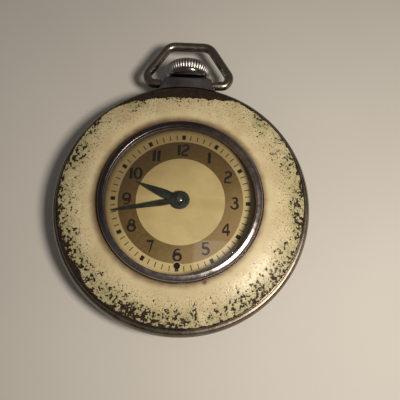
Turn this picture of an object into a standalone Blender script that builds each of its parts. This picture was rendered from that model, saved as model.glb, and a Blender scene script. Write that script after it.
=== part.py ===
"""Open face pocket watch, modelled lying on its back, with +Y towards its bow.

The origin is the centre of the back's flat face, on the axis of the hands.
Lengths in this file are millimetres; MM turns them into Blender's metres.
Every piece is a closed solid with its own object, and the origin of a moving
piece lies on the axis that it turns about or slides along.
"""

import math

import bmesh
import bpy
from mathutils import Vector
from mathutils.geometry import delaunay_2d_cdt

MM = 0.001

# ---------------------------------------------------------------- case sizes
SEGMENTS = 32            # round case pieces
CASE_R = 25.43           # widest point of the case band
BAND_R = 24.75           # case band at its upper and lower edge
BAND_LOW, BAND_HIGH = 3.75, 7.35
BACK_FLAT_R = 14.0       # flat part of the back
BACK_EDGE_Z = 3.6
BACK_WALL = 0.6
LEDGE_R = 20.2           # inner ledge that carries the movement
LEDGE_LOW, LEDGE_HIGH = 4.7, 5.3
BACK_R = 24.7            # back's outer edge
LIP_R, LIP_INNER_R, LIP_HIGH = 24.05, 23.5, 4.55     # back's lip, inside the band
BACK_SEAT_R = 24.15      # recess in the band that takes that lip
BEZEL_SEAT_R = 23.65     # inside of the band above the ledge
RIM_R = 24.3             # bezel's rim
RIM_LOW, RIM_HIGH = 7.5, 7.95
PAINT_R = 23.8           # outer edge of the painted ring
BEZEL_HOLE_R = 15.95
BEZEL_EDGE_Z, BEZEL_TOP_Z = 8.6, 9.95
BEZEL_WALL = 0.5
SKIRT_R, SKIRT_INNER_R, SKIRT_LOW = 23.55, 23.0, 6.6  # bezel's skirt, inside the band
BEAD_R, BEAD_RADIUS, BEAD_Z = 15.03, 0.67, 10.7
BORE_R = 14.35           # inside of the crystal ring
FLANGE_R, FLANGE_LOW, FLANGE_HIGH = 17.2, 8.75, 9.1   # ring's flange, under the bezel
GROOVE_R, GROOVE_LOW, GROOVE_HIGH = 14.8, 10.0, 10.78  # ring's groove for the crystal
CRYSTAL_R = 14.7
CRYSTAL_LOW, CRYSTAL_EDGE_Z = 10.12, 10.62
CRYSTAL_FACE_R = 14.2    # where the domed faces end
CRYSTAL_UNDER_Z, CRYSTAL_TOP_Z = 11.15, 11.8

# ------------------------------------------------------- bow, neck and crown
STEM_Z = 5.9             # height of the winding axis
NECK_WIDTHS = ((23.6, 6.1), (24.6, 5.75), (25.4, 5.3), (26.7, 5.1))   # Y, half width
NECK_HALF_HEIGHT = 2.4
NECK_CORNER_R = 1.4
NECK_BORE_R = 1.5
NECK_GAP = 0.08          # clearance between the neck and the band
BOW_PIVOT_Y = 26.1
BOW_WIRE_R = 0.95
BOW_PIN_R, BOW_PIN_END_X, BOW_PIN_SHOULDER_X = 0.7, 4.6, 5.75
BOW_HOLE_R, BOW_HOLE_END_X = 0.85, 4.25
# Right half of the bow: where its straight parts would meet, and how far from
# there each bend begins.
BOW_CORNERS = ((5.8, 26.1, 0.0), (8.0, 26.15, 0.9), (8.95, 28.0, 1.0), (4.35, 35.15, 1.5))
CROWN_INNER_Y, CROWN_OUTER_Y = 27.0, 31.0
CROWN_R = 4.85
CROWN_FLUTES, FLUTE_DEPTH = 26, 0.22
CROWN_SOCKET_R, CROWN_SOCKET_END_Y = 0.7, 29.5
STEM_R = 0.55
STEM_HOLE_R = 0.75

# ------------------------------------------------------------------- display
DIAL_R, DIAL_LOW, DIAL_HIGH = 20.8, 7.8, 8.2
KEYHOLE_Y, KEYHOLE_R, KEYHOLE_SLOT_HALF, KEYHOLE_END_Y = -12.4, 0.62, 0.36, -13.5
HOUR_HAND_ANGLE, MINUTE_HAND_ANGLE = 291.3, 258.6   # clockwise from 12, degrees
HOUR_HAND_TIP, MINUTE_HAND_TIP = 9.4, 13.4
DIAL_FOOT_R, DIAL_FOOT_LOW = 0.35, 5.7

# ------------------------------------------------------------ movement sizes
FRONT_PLATE_R, FRONT_LOW, FRONT_HIGH = 21.0, 5.4, 6.4
BACK_PLATE_R, BACK_LOW, BACK_HIGH = 19.8, 1.6, 2.4
# Distances from the centre, and directions clockwise from 12.
PILLAR_DISTANCE, PILLAR_ANGLES = 18.7, (18.0, 112.0, 197.0, 318.0)
CASE_SCREW_DISTANCE, CASE_SCREW_ANGLES = 21.6, (75.0, 255.0)
DIAL_FOOT_DISTANCE, DIAL_FOOT_ANGLES = 17.6, (45.0, 165.0, 285.0)
CASE_SCREW_HOLE_R = 0.45
ARBOR_LOW, ARBOR_HIGH = 2.45, 5.3                    # the plates' inner faces, less play
PIVOT_LOW, PIVOT_HIGH = 1.7, 6.2                     # ends of the wheel pivots
BALANCE_R = 7.0

# Teeth of the going train, the winding work and the motion work.
BARREL_TEETH, CENTER_LEAVES = 48, 8
CENTER_TEETH, THIRD_LEAVES = 48, 6
THIRD_TEETH, FOURTH_LEAVES = 45, 6
FOURTH_TEETH, ESCAPE_LEAVES = 48, 6
ESCAPE_TEETH = 15
RATCHET_TEETH, CROWN_WHEEL_TEETH = 30, 22
CONTRATE_TEETH, WINDING_LEAVES = 24, 9
CANNON_LEAVES, MINUTE_TEETH = 10, 30
MINUTE_LEAVES, HOUR_TEETH = 8, 32
SETTING_TEETH = 16

# Centre distances, and the directions that the train runs in, clockwise from 12.
BARREL_DISTANCE, BARREL_DIRECTION = 9.8, 70.0
THIRD_DISTANCE, THIRD_DIRECTION = 8.1, 259.5
FOURTH_DISTANCE, FOURTH_DIRECTION = 6.57, 166.3
ESCAPE_DISTANCE, ESCAPE_DIRECTION = 5.625, 122.5
BALANCE_DISTANCE, BALANCE_DIRECTION = 8.5, 74.4
PALLET_DISTANCE = 3.9
MOTION_DISTANCE = 4.8
CROWN_WHEEL_Y = 12.2


def clock_point(start, angle, distance):
    """The point a distance from start, in a direction clockwise from 12."""
    turn = math.radians(angle)
    return (start[0] + distance * math.sin(turn), start[1] + distance * math.cos(turn))


def clock_to_math(angle):
    """A clockwise-from-12 direction in degrees, as radians from +X."""
    return math.radians(90.0 - angle)


CENTER = (0.0, 0.0)
BARREL = clock_point(CENTER, BARREL_DIRECTION, BARREL_DISTANCE)
THIRD = clock_point(CENTER, THIRD_DIRECTION, THIRD_DISTANCE)
FOURTH = clock_point(THIRD, FOURTH_DIRECTION, FOURTH_DISTANCE)
ESCAPE = clock_point(FOURTH, ESCAPE_DIRECTION, ESCAPE_DISTANCE)
BALANCE = clock_point(ESCAPE, BALANCE_DIRECTION, BALANCE_DISTANCE)
PALLET = clock_point(ESCAPE, BALANCE_DIRECTION, PALLET_DISTANCE)
CROWN_WHEEL = (0.0, CROWN_WHEEL_Y)
MINUTE = (0.0, MOTION_DISTANCE)
SETTING_DISTANCE = MOTION_DISTANCE * (MINUTE_TEETH + SETTING_TEETH) / (MINUTE_TEETH + CANNON_LEAVES)
SETTING = (0.0, MOTION_DISTANCE + SETTING_DISTANCE)
SETTING_LEVER = (2.7, 17.3)
CLUTCH_LEVER = (-3.3, 13.65)
CLICK = clock_point(BARREL, 150.0, 9.3)
CLICK_SPRING = clock_point(BARREL, 128.0, 11.2)
COCK_FOOT = clock_point(BALANCE, 300.0, 9.3)
PALLET_POST = clock_point(PALLET, BALANCE_DIRECTION + 90.0, 2.8)
CASE_SCREWS = [clock_point(CENTER, angle, CASE_SCREW_DISTANCE) for angle in CASE_SCREW_ANGLES]
PILLARS = [clock_point(CENTER, angle, PILLAR_DISTANCE) for angle in PILLAR_ANGLES]
DIAL_FEET = [clock_point(CENTER, angle, DIAL_FOOT_DISTANCE) for angle in DIAL_FOOT_ANGLES]


# ------------------------------------------------------------------ materials
def material(name, colour, metallic, roughness, alpha=1.0):
    made = bpy.data.materials.get(name) or bpy.data.materials.new(name)
    made.use_nodes = True
    shader = made.node_tree.nodes["Principled BSDF"]
    shader.inputs["Base Color"].default_value = (*colour, 1.0)
    shader.inputs["Metallic"].default_value = metallic
    shader.inputs["Roughness"].default_value = roughness
    shader.inputs["Alpha"].default_value = alpha
    made.diffuse_color = (*colour, alpha)
    return made


FINISHES = {
    "case_nickel": ((0.30, 0.29, 0.28), 1.0, 0.35),
    "cream_enamel": ((0.78, 0.72, 0.46), 0.0, 0.35),
    "ring_chrome": ((0.55, 0.53, 0.55), 1.0, 0.2),
    "crown_chrome": ((0.70, 0.70, 0.70), 1.0, 0.15),
    "bow_nickel": ((0.25, 0.23, 0.20), 1.0, 0.3),
    "crystal_clear": ((0.95, 0.97, 0.95), 0.0, 0.05, 0.25),
    "dial_cream": ((0.80, 0.72, 0.42), 0.0, 0.5),
    "hand_black": ((0.03, 0.04, 0.035), 0.3, 0.4),
    "brass": ((0.72, 0.52, 0.22), 1.0, 0.3),
    "steel": ((0.50, 0.50, 0.52), 1.0, 0.3),
    "blued_steel": ((0.06, 0.10, 0.25), 1.0, 0.25),
    "plate_nickel": ((0.62, 0.60, 0.55), 1.0, 0.35),
}


# ---------------------------------------------------------------- mesh tools
def finish(name, bm, origin, finish_name, smooth=True):
    """Turn a bmesh in millimetres into an object whose origin is given."""
    bmesh.ops.recalc_face_normals(bm, faces=bm.faces)
    if bm.calc_volume(signed=True) < 0:
        bmesh.ops.reverse_faces(bm, faces=bm.faces)
    offset = Vector(origin)
    for vertex in bm.verts:
        vertex.co = (vertex.co - offset) * MM
    mesh = bpy.data.meshes.new(name)
    bm.to_mesh(mesh)
    bm.free()
    if smooth:
        mesh.shade_smooth()
        mesh.set_sharp_from_angle(angle=math.radians(35))
    made = bpy.data.objects.new(name, mesh)
    made.location = offset * MM
    bpy.context.collection.objects.link(made)
    mesh.materials.append(material(finish_name, *FINISHES[finish_name]))
    return made


class Welder:
    """Adds faces by position, so that faces which touch share their corners."""

    def __init__(self):
        self.bm = bmesh.new()
        self.known = {}

    def corner(self, point):
        key = tuple(round(value, 4) for value in point)
        if key not in self.known:
            self.known[key] = self.bm.verts.new(point)
        return self.known[key]

    def face(self, points):
        corners = []
        for point in points:
            corner = self.corner(point)
            if corner not in corners:
                corners.append(corner)
        if len(corners) > 2:
            self.bm.faces.new(corners)


def inside(point, loops):
    """Even-odd test of a point against a set of closed outlines."""
    x, y = point
    odd = False
    for loop in loops:
        for (x0, y0), (x1, y1) in zip(loop, loop[1:] + loop[:1]):
            if (y0 > y) != (y1 > y) and x < x0 + (y - y0) * (x1 - x0) / (y1 - y0):
                odd = not odd
    return odd


def stack(name, layers, origin, finish_name, place=None, smooth=True):
    """A solid of flat layers along one axis.

    Each layer is (low, high, outlines): its two levels and its closed outlines,
    of which one inside another is a hole. place turns (x, y, level) into the
    watch's coordinates; the levels run along +Z when it isn't given.
    """
    place = place or (lambda x, y, level: (x, y, level))
    weld = Welder()
    for low, high, outlines in layers:
        for loop in outlines:
            for (x0, y0), (x1, y1) in zip(loop, loop[1:] + loop[:1]):
                weld.face([place(x0, y0, low), place(x1, y1, low),
                           place(x1, y1, high), place(x0, y0, high)])
    levels = [layers[0][0]] + [layer[1] for layer in layers]
    sides = [[]] + [layer[2] for layer in layers] + [[]]
    for level, below, above in zip(levels, sides, sides[1:]):
        shared = [loop for loop in below if loop in above]
        loops = [loop for loop in below + above if loop not in shared]
        points = [Vector(point) for loop in loops for point in loop]
        edges = []
        for loop in loops:
            first = len(edges)
            edges += [(first + i, first + (i + 1) % len(loop)) for i in range(len(loop))]
        corners, _, triangles, *_ = delaunay_2d_cdt(points, edges, [], 0, 1e-6)
        for triangle in triangles:
            flat = [corners[index] for index in triangle]
            middle = (sum(p.x for p in flat) / 3, sum(p.y for p in flat) / 3)
            if inside(middle, below) != inside(middle, above):
                weld.face([place(p.x, p.y, level) for p in flat])
    return finish(name, weld.bm, origin, finish_name, smooth)


def turned(name, profile, centre, finish_name, segments=SEGMENTS, place=None, radius_at=None):
    """A turned solid from (radius, level) points; a radius of 0 lies on the axis.

    radius_at(radius, index) can vary the radius around the piece.
    """
    place = place or (lambda x, y, level: (centre[0] + x, centre[1] + y, level))
    radius_at = radius_at or (lambda radius, index: radius)
    weld = Welder()
    closed = profile[0][0] > 0 or profile[-1][0] > 0
    ends = profile[1:] + (profile[:1] if closed else [])

    def point(radius, level, index):
        turn = 2 * math.pi * index / segments
        wide = radius_at(radius, index % segments)
        return place(wide * math.cos(turn), wide * math.sin(turn), level)

    for (r0, z0), (r1, z1) in zip(profile, ends):
        for index in range(segments):
            weld.face([point(r0, z0, index), point(r0, z0, index + 1),
                       point(r1, z1, index + 1), point(r1, z1, index)])
    return finish(name, weld.bm, place(0.0, 0.0, profile[0][1]), finish_name)


def cut(target, cutter):
    """Cut one object out of another, and hide the cutter."""
    cutter.hide_render = True
    cutter.display_type = "WIRE"
    boolean = target.modifiers.new("cut_" + cutter.name, "BOOLEAN")
    boolean.object = cutter
    boolean.operation = "DIFFERENCE"
    boolean.solver = "EXACT"


# ------------------------------------------------------------------- outlines
def circle(centre, radius, count=12, start=0.0):
    return [(centre[0] + radius * math.cos(start + 2 * math.pi * i / count),
             centre[1] + radius * math.sin(start + 2 * math.pi * i / count)) for i in range(count)]


def pear(big, big_radius, small, small_radius, count=7):
    """The outline around two circles of different size."""
    along = math.atan2(small[1] - big[1], small[0] - big[0])
    distance = math.dist(big, small)
    lean = math.acos((big_radius - small_radius) / distance)
    points = []
    for centre, radius, first, last in ((small, small_radius, along - lean, along + lean),
                                        (big, big_radius, along + lean, along + 2 * math.pi - lean)):
        for i in range(count):
            turn = first + (last - first) * i / (count - 1)
            points.append((centre[0] + radius * math.cos(turn), centre[1] + radius * math.sin(turn)))
    return points


def ribbon(path, half_width):
    """The outline of a strip of constant width along an open path."""
    left, right = [], []
    for i, (x, y) in enumerate(path):
        x0, y0 = path[max(i - 1, 0)]
        x1, y1 = path[min(i + 1, len(path) - 1)]
        length = math.hypot(x1 - x0, y1 - y0)
        nx, ny = -(y1 - y0) / length * half_width, (x1 - x0) / length * half_width
        left.append((x + nx, y + ny))
        right.append((x - nx, y - ny))
    return right + left[::-1]


def spiral(centre, inner, outer, turns, start, per_turn=12):
    """Points along a flat spiral, from its inner end outwards."""
    count = int(turns * per_turn)
    return [(centre[0] + (inner + (outer - inner) * i / count) * math.cos(start + 2 * math.pi * i / per_turn),
             centre[1] + (inner + (outer - inner) * i / count) * math.sin(start + 2 * math.pi * i / per_turn))
            for i in range(count + 1)]


def toothed(centre, teeth, module, phase, corners):
    """A gear outline; corners are (height over the pitch circle, in modules,
    and angle in pitches) around one tooth whose middle points along phase."""
    pitch = 2 * math.pi / teeth
    points = []
    for tooth in range(teeth):
        for height, across in corners:
            radius = module * (teeth / 2 + height)
            turn = phase + (tooth + across) * pitch
            points.append((centre[0] + radius * math.cos(turn), centre[1] + radius * math.sin(turn)))
    return points


WHEEL_TOOTH = ((0.7, -0.065), (0.7, 0.065), (-1.4, 0.5))
LEAF = ((-1.15, -0.18), (0.5, -0.08), (0.5, 0.08), (-1.15, 0.18))
CLUB_TOOTH = ((0.0, -0.05), (0.0, 0.06), (-2.4, 0.62), (-2.4, 0.9))


def wheel_outline(centre, teeth, module, phase):
    return toothed(centre, teeth, module, phase, WHEEL_TOOTH)


def leaf_outline(centre, leaves, module, phase):
    return toothed(centre, leaves, module, phase, LEAF)


def mesh_module(distance, teeth, other_teeth):
    return 2 * distance / (teeth + other_teeth)


def gap_phase(direction, leaves):
    """Turns a pinion so that a gap between its leaves faces back along a
    direction, where the other wheel's tooth points."""
    return direction + math.pi + math.pi / leaves


def crossings(centre, inner, outer, arms, start, arm_half=0.45, steps=3):
    """The openings between the arms of a wheel."""
    openings = []
    for arm in range(arms):
        low = start + 2 * math.pi * arm / arms
        high = low + 2 * math.pi / arms
        points = []
        for radius, order in ((outer, 1), (inner, -1)):
            lean = math.asin(arm_half / radius)
            turns = [low + lean + (high - low - 2 * lean) * i / steps for i in range(steps + 1)][::order]
            points += [(centre[0] + radius * math.cos(t), centre[1] + radius * math.sin(t)) for t in turns]
        openings.append(points)
    return openings


# ----------------------------------------------------------------------- case
def band_radius(level):
    """Outer radius of the bulging case band."""
    middle = (BAND_LOW + BAND_HIGH) / 2
    return CASE_R - (CASE_R - BAND_R) * ((level - middle) / (BAND_HIGH - middle)) ** 2


def quarter(centre_r, centre_z, wide, high, steps):
    """Points from the lowest to the outermost point of a quarter ellipse."""
    return [(centre_r + wide * math.sin(math.pi / 2 * i / steps),
             centre_z - high * math.cos(math.pi / 2 * i / steps)) for i in range(steps + 1)]


def rod(radius, low, high):
    """Profile of a plain cylinder."""
    return [(0.0, low), (radius, low), (radius, high), (0.0, high)]


def make_case():
    outer = quarter(BACK_FLAT_R, BACK_EDGE_Z, BACK_R - BACK_FLAT_R, BACK_EDGE_Z, 4)
    inner = quarter(BACK_FLAT_R, BACK_EDGE_Z, LIP_INNER_R - BACK_FLAT_R, BACK_EDGE_Z - BACK_WALL, 3)
    lip = [(LIP_R, BACK_EDGE_Z), (LIP_R, LIP_HIGH), (LIP_INNER_R, LIP_HIGH)]
    turned("case_back", [(0.0, 0.0)] + outer + lip + inner[::-1] + [(0.0, BACK_WALL)], CENTER, "case_nickel")

    levels = [BAND_LOW + (BAND_HIGH - BAND_LOW) * i / 4 for i in range(5)]
    outside = [(band_radius(level), level) for level in levels]
    inside_wall = [(BEZEL_SEAT_R, BAND_HIGH), (BEZEL_SEAT_R, LEDGE_HIGH), (LEDGE_R, LEDGE_HIGH),
                   (LEDGE_R, LEDGE_LOW), (BACK_SEAT_R, LEDGE_LOW), (BACK_SEAT_R, BAND_LOW)]
    middle = turned("case_middle", outside + inside_wall, CENTER, "case_nickel")
    cut(middle, turned("cutter_stem_hole", rod(STEM_HOLE_R, 23.0, 26.0), CENTER, "steel", 12, along_stem))
    for number, spot in enumerate(CASE_SCREWS, 1):
        cut(middle, turned(f"cutter_case_screw_{number}", rod(CASE_SCREW_HOLE_R, 4.0, 6.0), spot, "steel", 10))


def arch(radius, drop):
    """Height of the painted ring's convex face, less a drop."""
    fall = (radius - BEZEL_HOLE_R) / (PAINT_R - BEZEL_HOLE_R)
    return BEZEL_TOP_Z - (BEZEL_TOP_Z - BEZEL_EDGE_Z) * fall ** 2 - drop


def make_bezel():
    steps = 4
    top = [PAINT_R + (BEZEL_HOLE_R - PAINT_R) * i / steps for i in range(steps + 1)]
    under = [BEZEL_HOLE_R + (SKIRT_INNER_R - BEZEL_HOLE_R) * i / 2 for i in range(3)]
    profile = [(RIM_R, RIM_LOW), (RIM_R, RIM_HIGH)] + [(r, arch(r, 0.0)) for r in top]
    profile += [(r, arch(r, BEZEL_WALL)) for r in under]
    profile += [(SKIRT_INNER_R, SKIRT_LOW), (SKIRT_R, SKIRT_LOW), (SKIRT_R, RIM_LOW)]
    turned("bezel", profile, CENTER, "cream_enamel")

    bead = [(BEAD_R + BEAD_RADIUS * math.cos(math.radians(a)), BEAD_Z + BEAD_RADIUS * math.sin(math.radians(a)))
            for a in (0, 50, 100, 155)]
    profile = [(BORE_R, FLANGE_LOW), (FLANGE_R, FLANGE_LOW), (FLANGE_R, FLANGE_HIGH),
               (BEAD_R + BEAD_RADIUS, FLANGE_HIGH)] + bead
    profile += [(BORE_R, GROOVE_HIGH), (GROOVE_R, GROOVE_HIGH), (GROOVE_R, GROOVE_LOW), (BORE_R, GROOVE_LOW)]
    turned("crystal_ring", profile, CENTER, "ring_chrome")

    under_fall, top_fall = 1.0, 1.1          # how far the domed faces drop towards their edge
    shares = [i / 3 for i in range(4)]
    dome = [(CRYSTAL_FACE_R * share, CRYSTAL_UNDER_Z - under_fall * share ** 2) for share in shares]
    dome += [(CRYSTAL_R, CRYSTAL_LOW), (CRYSTAL_R, CRYSTAL_EDGE_Z)]
    dome += [(CRYSTAL_FACE_R * share, CRYSTAL_TOP_Z - top_fall * share ** 2) for share in shares[::-1]]
    turned("crystal", dome, CENTER, "crystal_clear")


# -------------------------------------------------------- neck, bow and crown
def along_stem(x, y, level):
    """Places a shape whose own axis is the winding axis; level is then Y."""
    return (x, level, STEM_Z - y)


def neck_section(level, half_width):
    """Flattened section of the neck with round corners, across the stem."""
    points = []
    for sx, sy, first in ((1, 1, 0), (-1, 1, 90), (-1, -1, 180), (1, -1, 270)):
        for step in range(4):
            turn = math.radians(first + 30 * step)
            points.append((sx * (half_width - NECK_CORNER_R) + NECK_CORNER_R * math.cos(turn),
                           sy * (NECK_HALF_HEIGHT - NECK_CORNER_R) + NECK_CORNER_R * math.sin(turn)))
    return [along_stem(x, y, level) for x, y in points]


def make_neck():
    weld = Welder()
    sections = [neck_section(level, half) for level, half in NECK_WIDTHS]
    for lower, upper in zip(sections, sections[1:]):
        for i in range(len(lower)):
            j = (i + 1) % len(lower)
            weld.face([lower[i], lower[j], upper[j], upper[i]])
    weld.face(sections[0])
    weld.face(sections[-1][::-1])
    neck = finish("pendant_neck", weld.bm, (0.0, BOW_PIVOT_Y, STEM_Z), "case_nickel")

    levels = [BAND_LOW + (BAND_HIGH - BAND_LOW) * i / 4 for i in range(5)]
    body = [(0.0, 2.5), (BAND_R - 0.6, 2.5)] + [(band_radius(level) + NECK_GAP, level) for level in levels]
    body += [(RIM_R + 0.12, BAND_HIGH + 0.1), (RIM_R + 0.12, 9.5), (0.0, 9.5)]
    cut(neck, turned("cutter_band", body, CENTER, "steel"))
    cut(neck, turned("cutter_neck_bore", rod(NECK_BORE_R, 22.0, 28.0), CENTER, "steel", 16, along_stem))
    for name, side in (("left", -1), ("right", 1)):
        cut(neck, turned("cutter_bow_hole_" + name, rod(BOW_HOLE_R, BOW_HOLE_END_X, 7.0), CENTER, "steel", 12,
                         lambda x, y, level, side=side: (side * level, BOW_PIVOT_Y + x, STEM_Z + y * side)))
    sleeve = [(1.4, 25.8), (1.4, 26.6), (0.65, 26.6), (0.65, 25.8)]
    turned("stem_sleeve", sleeve, CENTER, "steel", 16, along_stem)


def bow_path():
    """Centre line of the bow, from the left pin over the top to the right pin."""
    half = [(BOW_PIN_END_X, BOW_PIVOT_Y), (BOW_PIN_SHOULDER_X, BOW_PIVOT_Y),
            (BOW_PIN_SHOULDER_X + 0.2, BOW_PIVOT_Y)]
    top_x, top_y, _ = BOW_CORNERS[-1]
    corners = BOW_CORNERS + ((-top_x, top_y, 0.0),)
    for one, two, three in zip(corners, corners[1:], corners[2:]):
        before, here, after = Vector(one[:2]), Vector(two[:2]), Vector(three[:2])
        start = here + (before - here).normalized() * two[2]
        end = here + (after - here).normalized() * two[2]
        for step in range(4):
            t = step / 3
            half.append(tuple((1 - t) ** 2 * start + 2 * t * (1 - t) * here + t ** 2 * end))
    return [(-x, y) for x, y in half] + half[::-1]


def make_bow():
    weld = Welder()
    path = bow_path()
    sides = 8
    rings = []
    for i, (x, y) in enumerate(path):
        from_end = min(i, len(path) - 1 - i)
        radius = BOW_PIN_R if from_end <= 1 else BOW_WIRE_R
        along = Vector(path[min(i + 1, len(path) - 1)]) - Vector(path[max(i - 1, 0)])
        if from_end <= 2:
            along = Vector((-1.0, 0.0))      # the path runs this way along both pins
        normal = Vector((-along.y, along.x)).normalized()
        ring = []
        for side in range(sides):
            turn = 2 * math.pi * (side + 0.5) / sides
            across, up = radius * math.cos(turn), radius * math.sin(turn)
            ring.append((x + normal.x * across, y + normal.y * across, STEM_Z + up))
        rings.append(ring)
    for lower, upper in zip(rings, rings[1:]):
        for i in range(sides):
            j = (i + 1) % sides
            weld.face([lower[i], lower[j], upper[j], upper[i]])
    weld.face(rings[0])
    weld.face(rings[-1])
    finish("bow", weld.bm, (0.0, BOW_PIVOT_Y, STEM_Z), "bow_nickel")


def make_crown_and_stem():
    profile = [(0.0, CROWN_SOCKET_END_Y), (CROWN_SOCKET_R, CROWN_SOCKET_END_Y), (CROWN_SOCKET_R, CROWN_INNER_Y),
               (4.35, CROWN_INNER_Y), (CROWN_R, 27.4), (CROWN_R, 29.2), (4.3, 30.15), (2.6, 30.8),
               (0.0, CROWN_OUTER_Y)]

    def fluted(radius, index):
        return radius - FLUTE_DEPTH if radius == CROWN_R and index % 2 else radius

    turned("crown", profile, CENTER, "crown_chrome", CROWN_FLUTES * 2, along_stem, fluted)
    stem = [(0.0, 12.2), (0.42, 12.2), (0.42, 14.7), (STEM_R, 14.7), (STEM_R, 16.5), (0.3, 16.5),
            (0.3, 17.1), (STEM_R, 17.1), (STEM_R, 29.35), (0.0, 29.35)]
    turned("winding_stem", stem, CENTER, "steel", 10, along_stem)


# ------------------------------------------------------------ dial and hands
def keyhole():
    """Round hole with a slot that runs outwards from it."""
    lean = math.asin(KEYHOLE_SLOT_HALF / KEYHOLE_R)
    first, last = -math.pi / 2 + lean, 1.5 * math.pi - lean
    points = [(KEYHOLE_R * math.cos(first + (last - first) * i / 10),
               KEYHOLE_Y + KEYHOLE_R * math.sin(first + (last - first) * i / 10)) for i in range(11)]
    return points + [(-KEYHOLE_SLOT_HALF, KEYHOLE_END_Y), (KEYHOLE_SLOT_HALF, KEYHOLE_END_Y)]


def make_dial():
    feet = [circle(foot, DIAL_FOOT_R, 8) for foot in DIAL_FEET]
    stack("dial", [(DIAL_FOOT_LOW, DIAL_LOW, feet),
                   (DIAL_LOW, DIAL_HIGH, [circle(CENTER, DIAL_R, SEGMENTS), circle(CENTER, 1.05), keyhole()])],
          (0.0, 0.0, DIAL_LOW), "dial_cream")
    stack("dial_spacer_ring", [(6.5, 7.7, [circle(CENTER, 20.35, SEGMENTS), circle(CENTER, 19.3, SEGMENTS)])],
          (0.0, 0.0, 6.5), "brass")
    stud = (0.0, KEYHOLE_Y)
    stack("dial_locating_stud", [(5.6, 6.4, [circle(stud, 0.3, 10)]), (6.4, 7.7, [circle(stud, 0.5, 10)]),
                                 (7.7, 8.05, [circle(stud, 0.45, 10)])], (*stud, 5.6), "steel")


def hand_outline(angle, hub_radius, stations):
    """A hand: a round hub, and a blade through (distance, half width) stations."""
    along = clock_to_math(angle)
    first_distance, first_half = stations[0]
    lean = math.asin(first_half / hub_radius)
    points = []
    for i in range(13):
        turn = lean + (2 * math.pi - 2 * lean) * i / 12
        points.append((hub_radius * math.cos(turn), hub_radius * math.sin(turn)))
    points += [(distance, -half) for distance, half in stations]
    points += [(distance, half) for distance, half in stations[::-1] if half > 0]
    return [(x * math.cos(along) - y * math.sin(along), x * math.sin(along) + y * math.cos(along))
            for x, y in points]


def make_hands():
    hour = hand_outline(HOUR_HAND_ANGLE, 1.6, ((2.1, 0.62), (3.4, 0.9), (4.2, 0.88), (HOUR_HAND_TIP, 0.0)))
    stack("hour_hand", [(8.5, 8.68, [hour, circle(CENTER, 0.95)])], (0.0, 0.0, 8.5), "hand_black")
    minute = hand_outline(MINUTE_HAND_ANGLE, 1.8,
                          ((2.2, 0.5), (3.5, 0.62), (8.0, 0.42), (MINUTE_HAND_TIP, 0.12)))
    bore = circle(CENTER, 0.6)
    stack("minute_hand", [(9.0, 9.18, [minute, bore]), (9.18, 9.35, [circle(CENTER, 1.0, 16), bore])],
          (0.0, 0.0, 9.0), "hand_black")


def make_motion_work():
    up = clock_to_math(0.0)
    first = mesh_module(MOTION_DISTANCE, CANNON_LEAVES, MINUTE_TEETH)
    second = mesh_module(MOTION_DISTANCE, MINUTE_LEAVES, HOUR_TEETH)
    bore = circle(CENTER, 0.38, 10)
    leaves = leaf_outline(CENTER, CANNON_LEAVES, first, gap_phase(up + math.pi, CANNON_LEAVES))
    stack("cannon_pinion", [(6.5, 6.95, [leaves, bore]), (6.95, 9.45, [circle(CENTER, 0.55, 10), bore])],
          (0.0, 0.0, 6.5), "steel")
    pipe = circle(CENTER, 0.65)
    stack("hour_wheel", [(7.05, 7.35, [wheel_outline(CENTER, HOUR_TEETH, second, up), pipe]
                          + crossings(CENTER, 1.5, 3.0, 3, up)),
                         (7.35, 8.72, [circle(CENTER, 0.9), pipe])], (0.0, 0.0, 7.05), "brass")
    stack("minute_wheel", [(5.6, 6.5, [circle(MINUTE, 0.3, 10)]),
                           (6.5, 6.75, [wheel_outline(MINUTE, MINUTE_TEETH, first, up + math.pi)]),
                           (6.75, 7.45, [leaf_outline(MINUTE, MINUTE_LEAVES, second,
                                                      gap_phase(up, MINUTE_LEAVES))])],
          (*MINUTE, 6.5), "brass")
    stack("setting_wheel", [(5.6, 6.5, [circle(SETTING, 0.3, 10)]),
                            (6.5, 6.75, [wheel_outline(SETTING, SETTING_TEETH, first,
                                                       gap_phase(up, SETTING_TEETH))])],
          (*SETTING, 6.5), "steel")


# --------------------------------------------------------------- winding work
def contrate_teeth(centre, teeth, inner, outer, phase):
    """Outlines of teeth that stand up from a disc; a gap faces along phase."""
    pitch = 2 * math.pi / teeth
    outlines = []
    for tooth in range(teeth):
        middle = phase + (tooth + 0.5) * pitch
        outlines.append([(centre[0] + radius * math.cos(middle + side * share * pitch),
                          centre[1] + radius * math.sin(middle + side * share * pitch))
                         for radius, side, share in ((inner, -1, 0.13), (outer, -1, 0.15),
                                                     (outer, 1, 0.15), (inner, 1, 0.13))])
    return outlines


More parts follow.
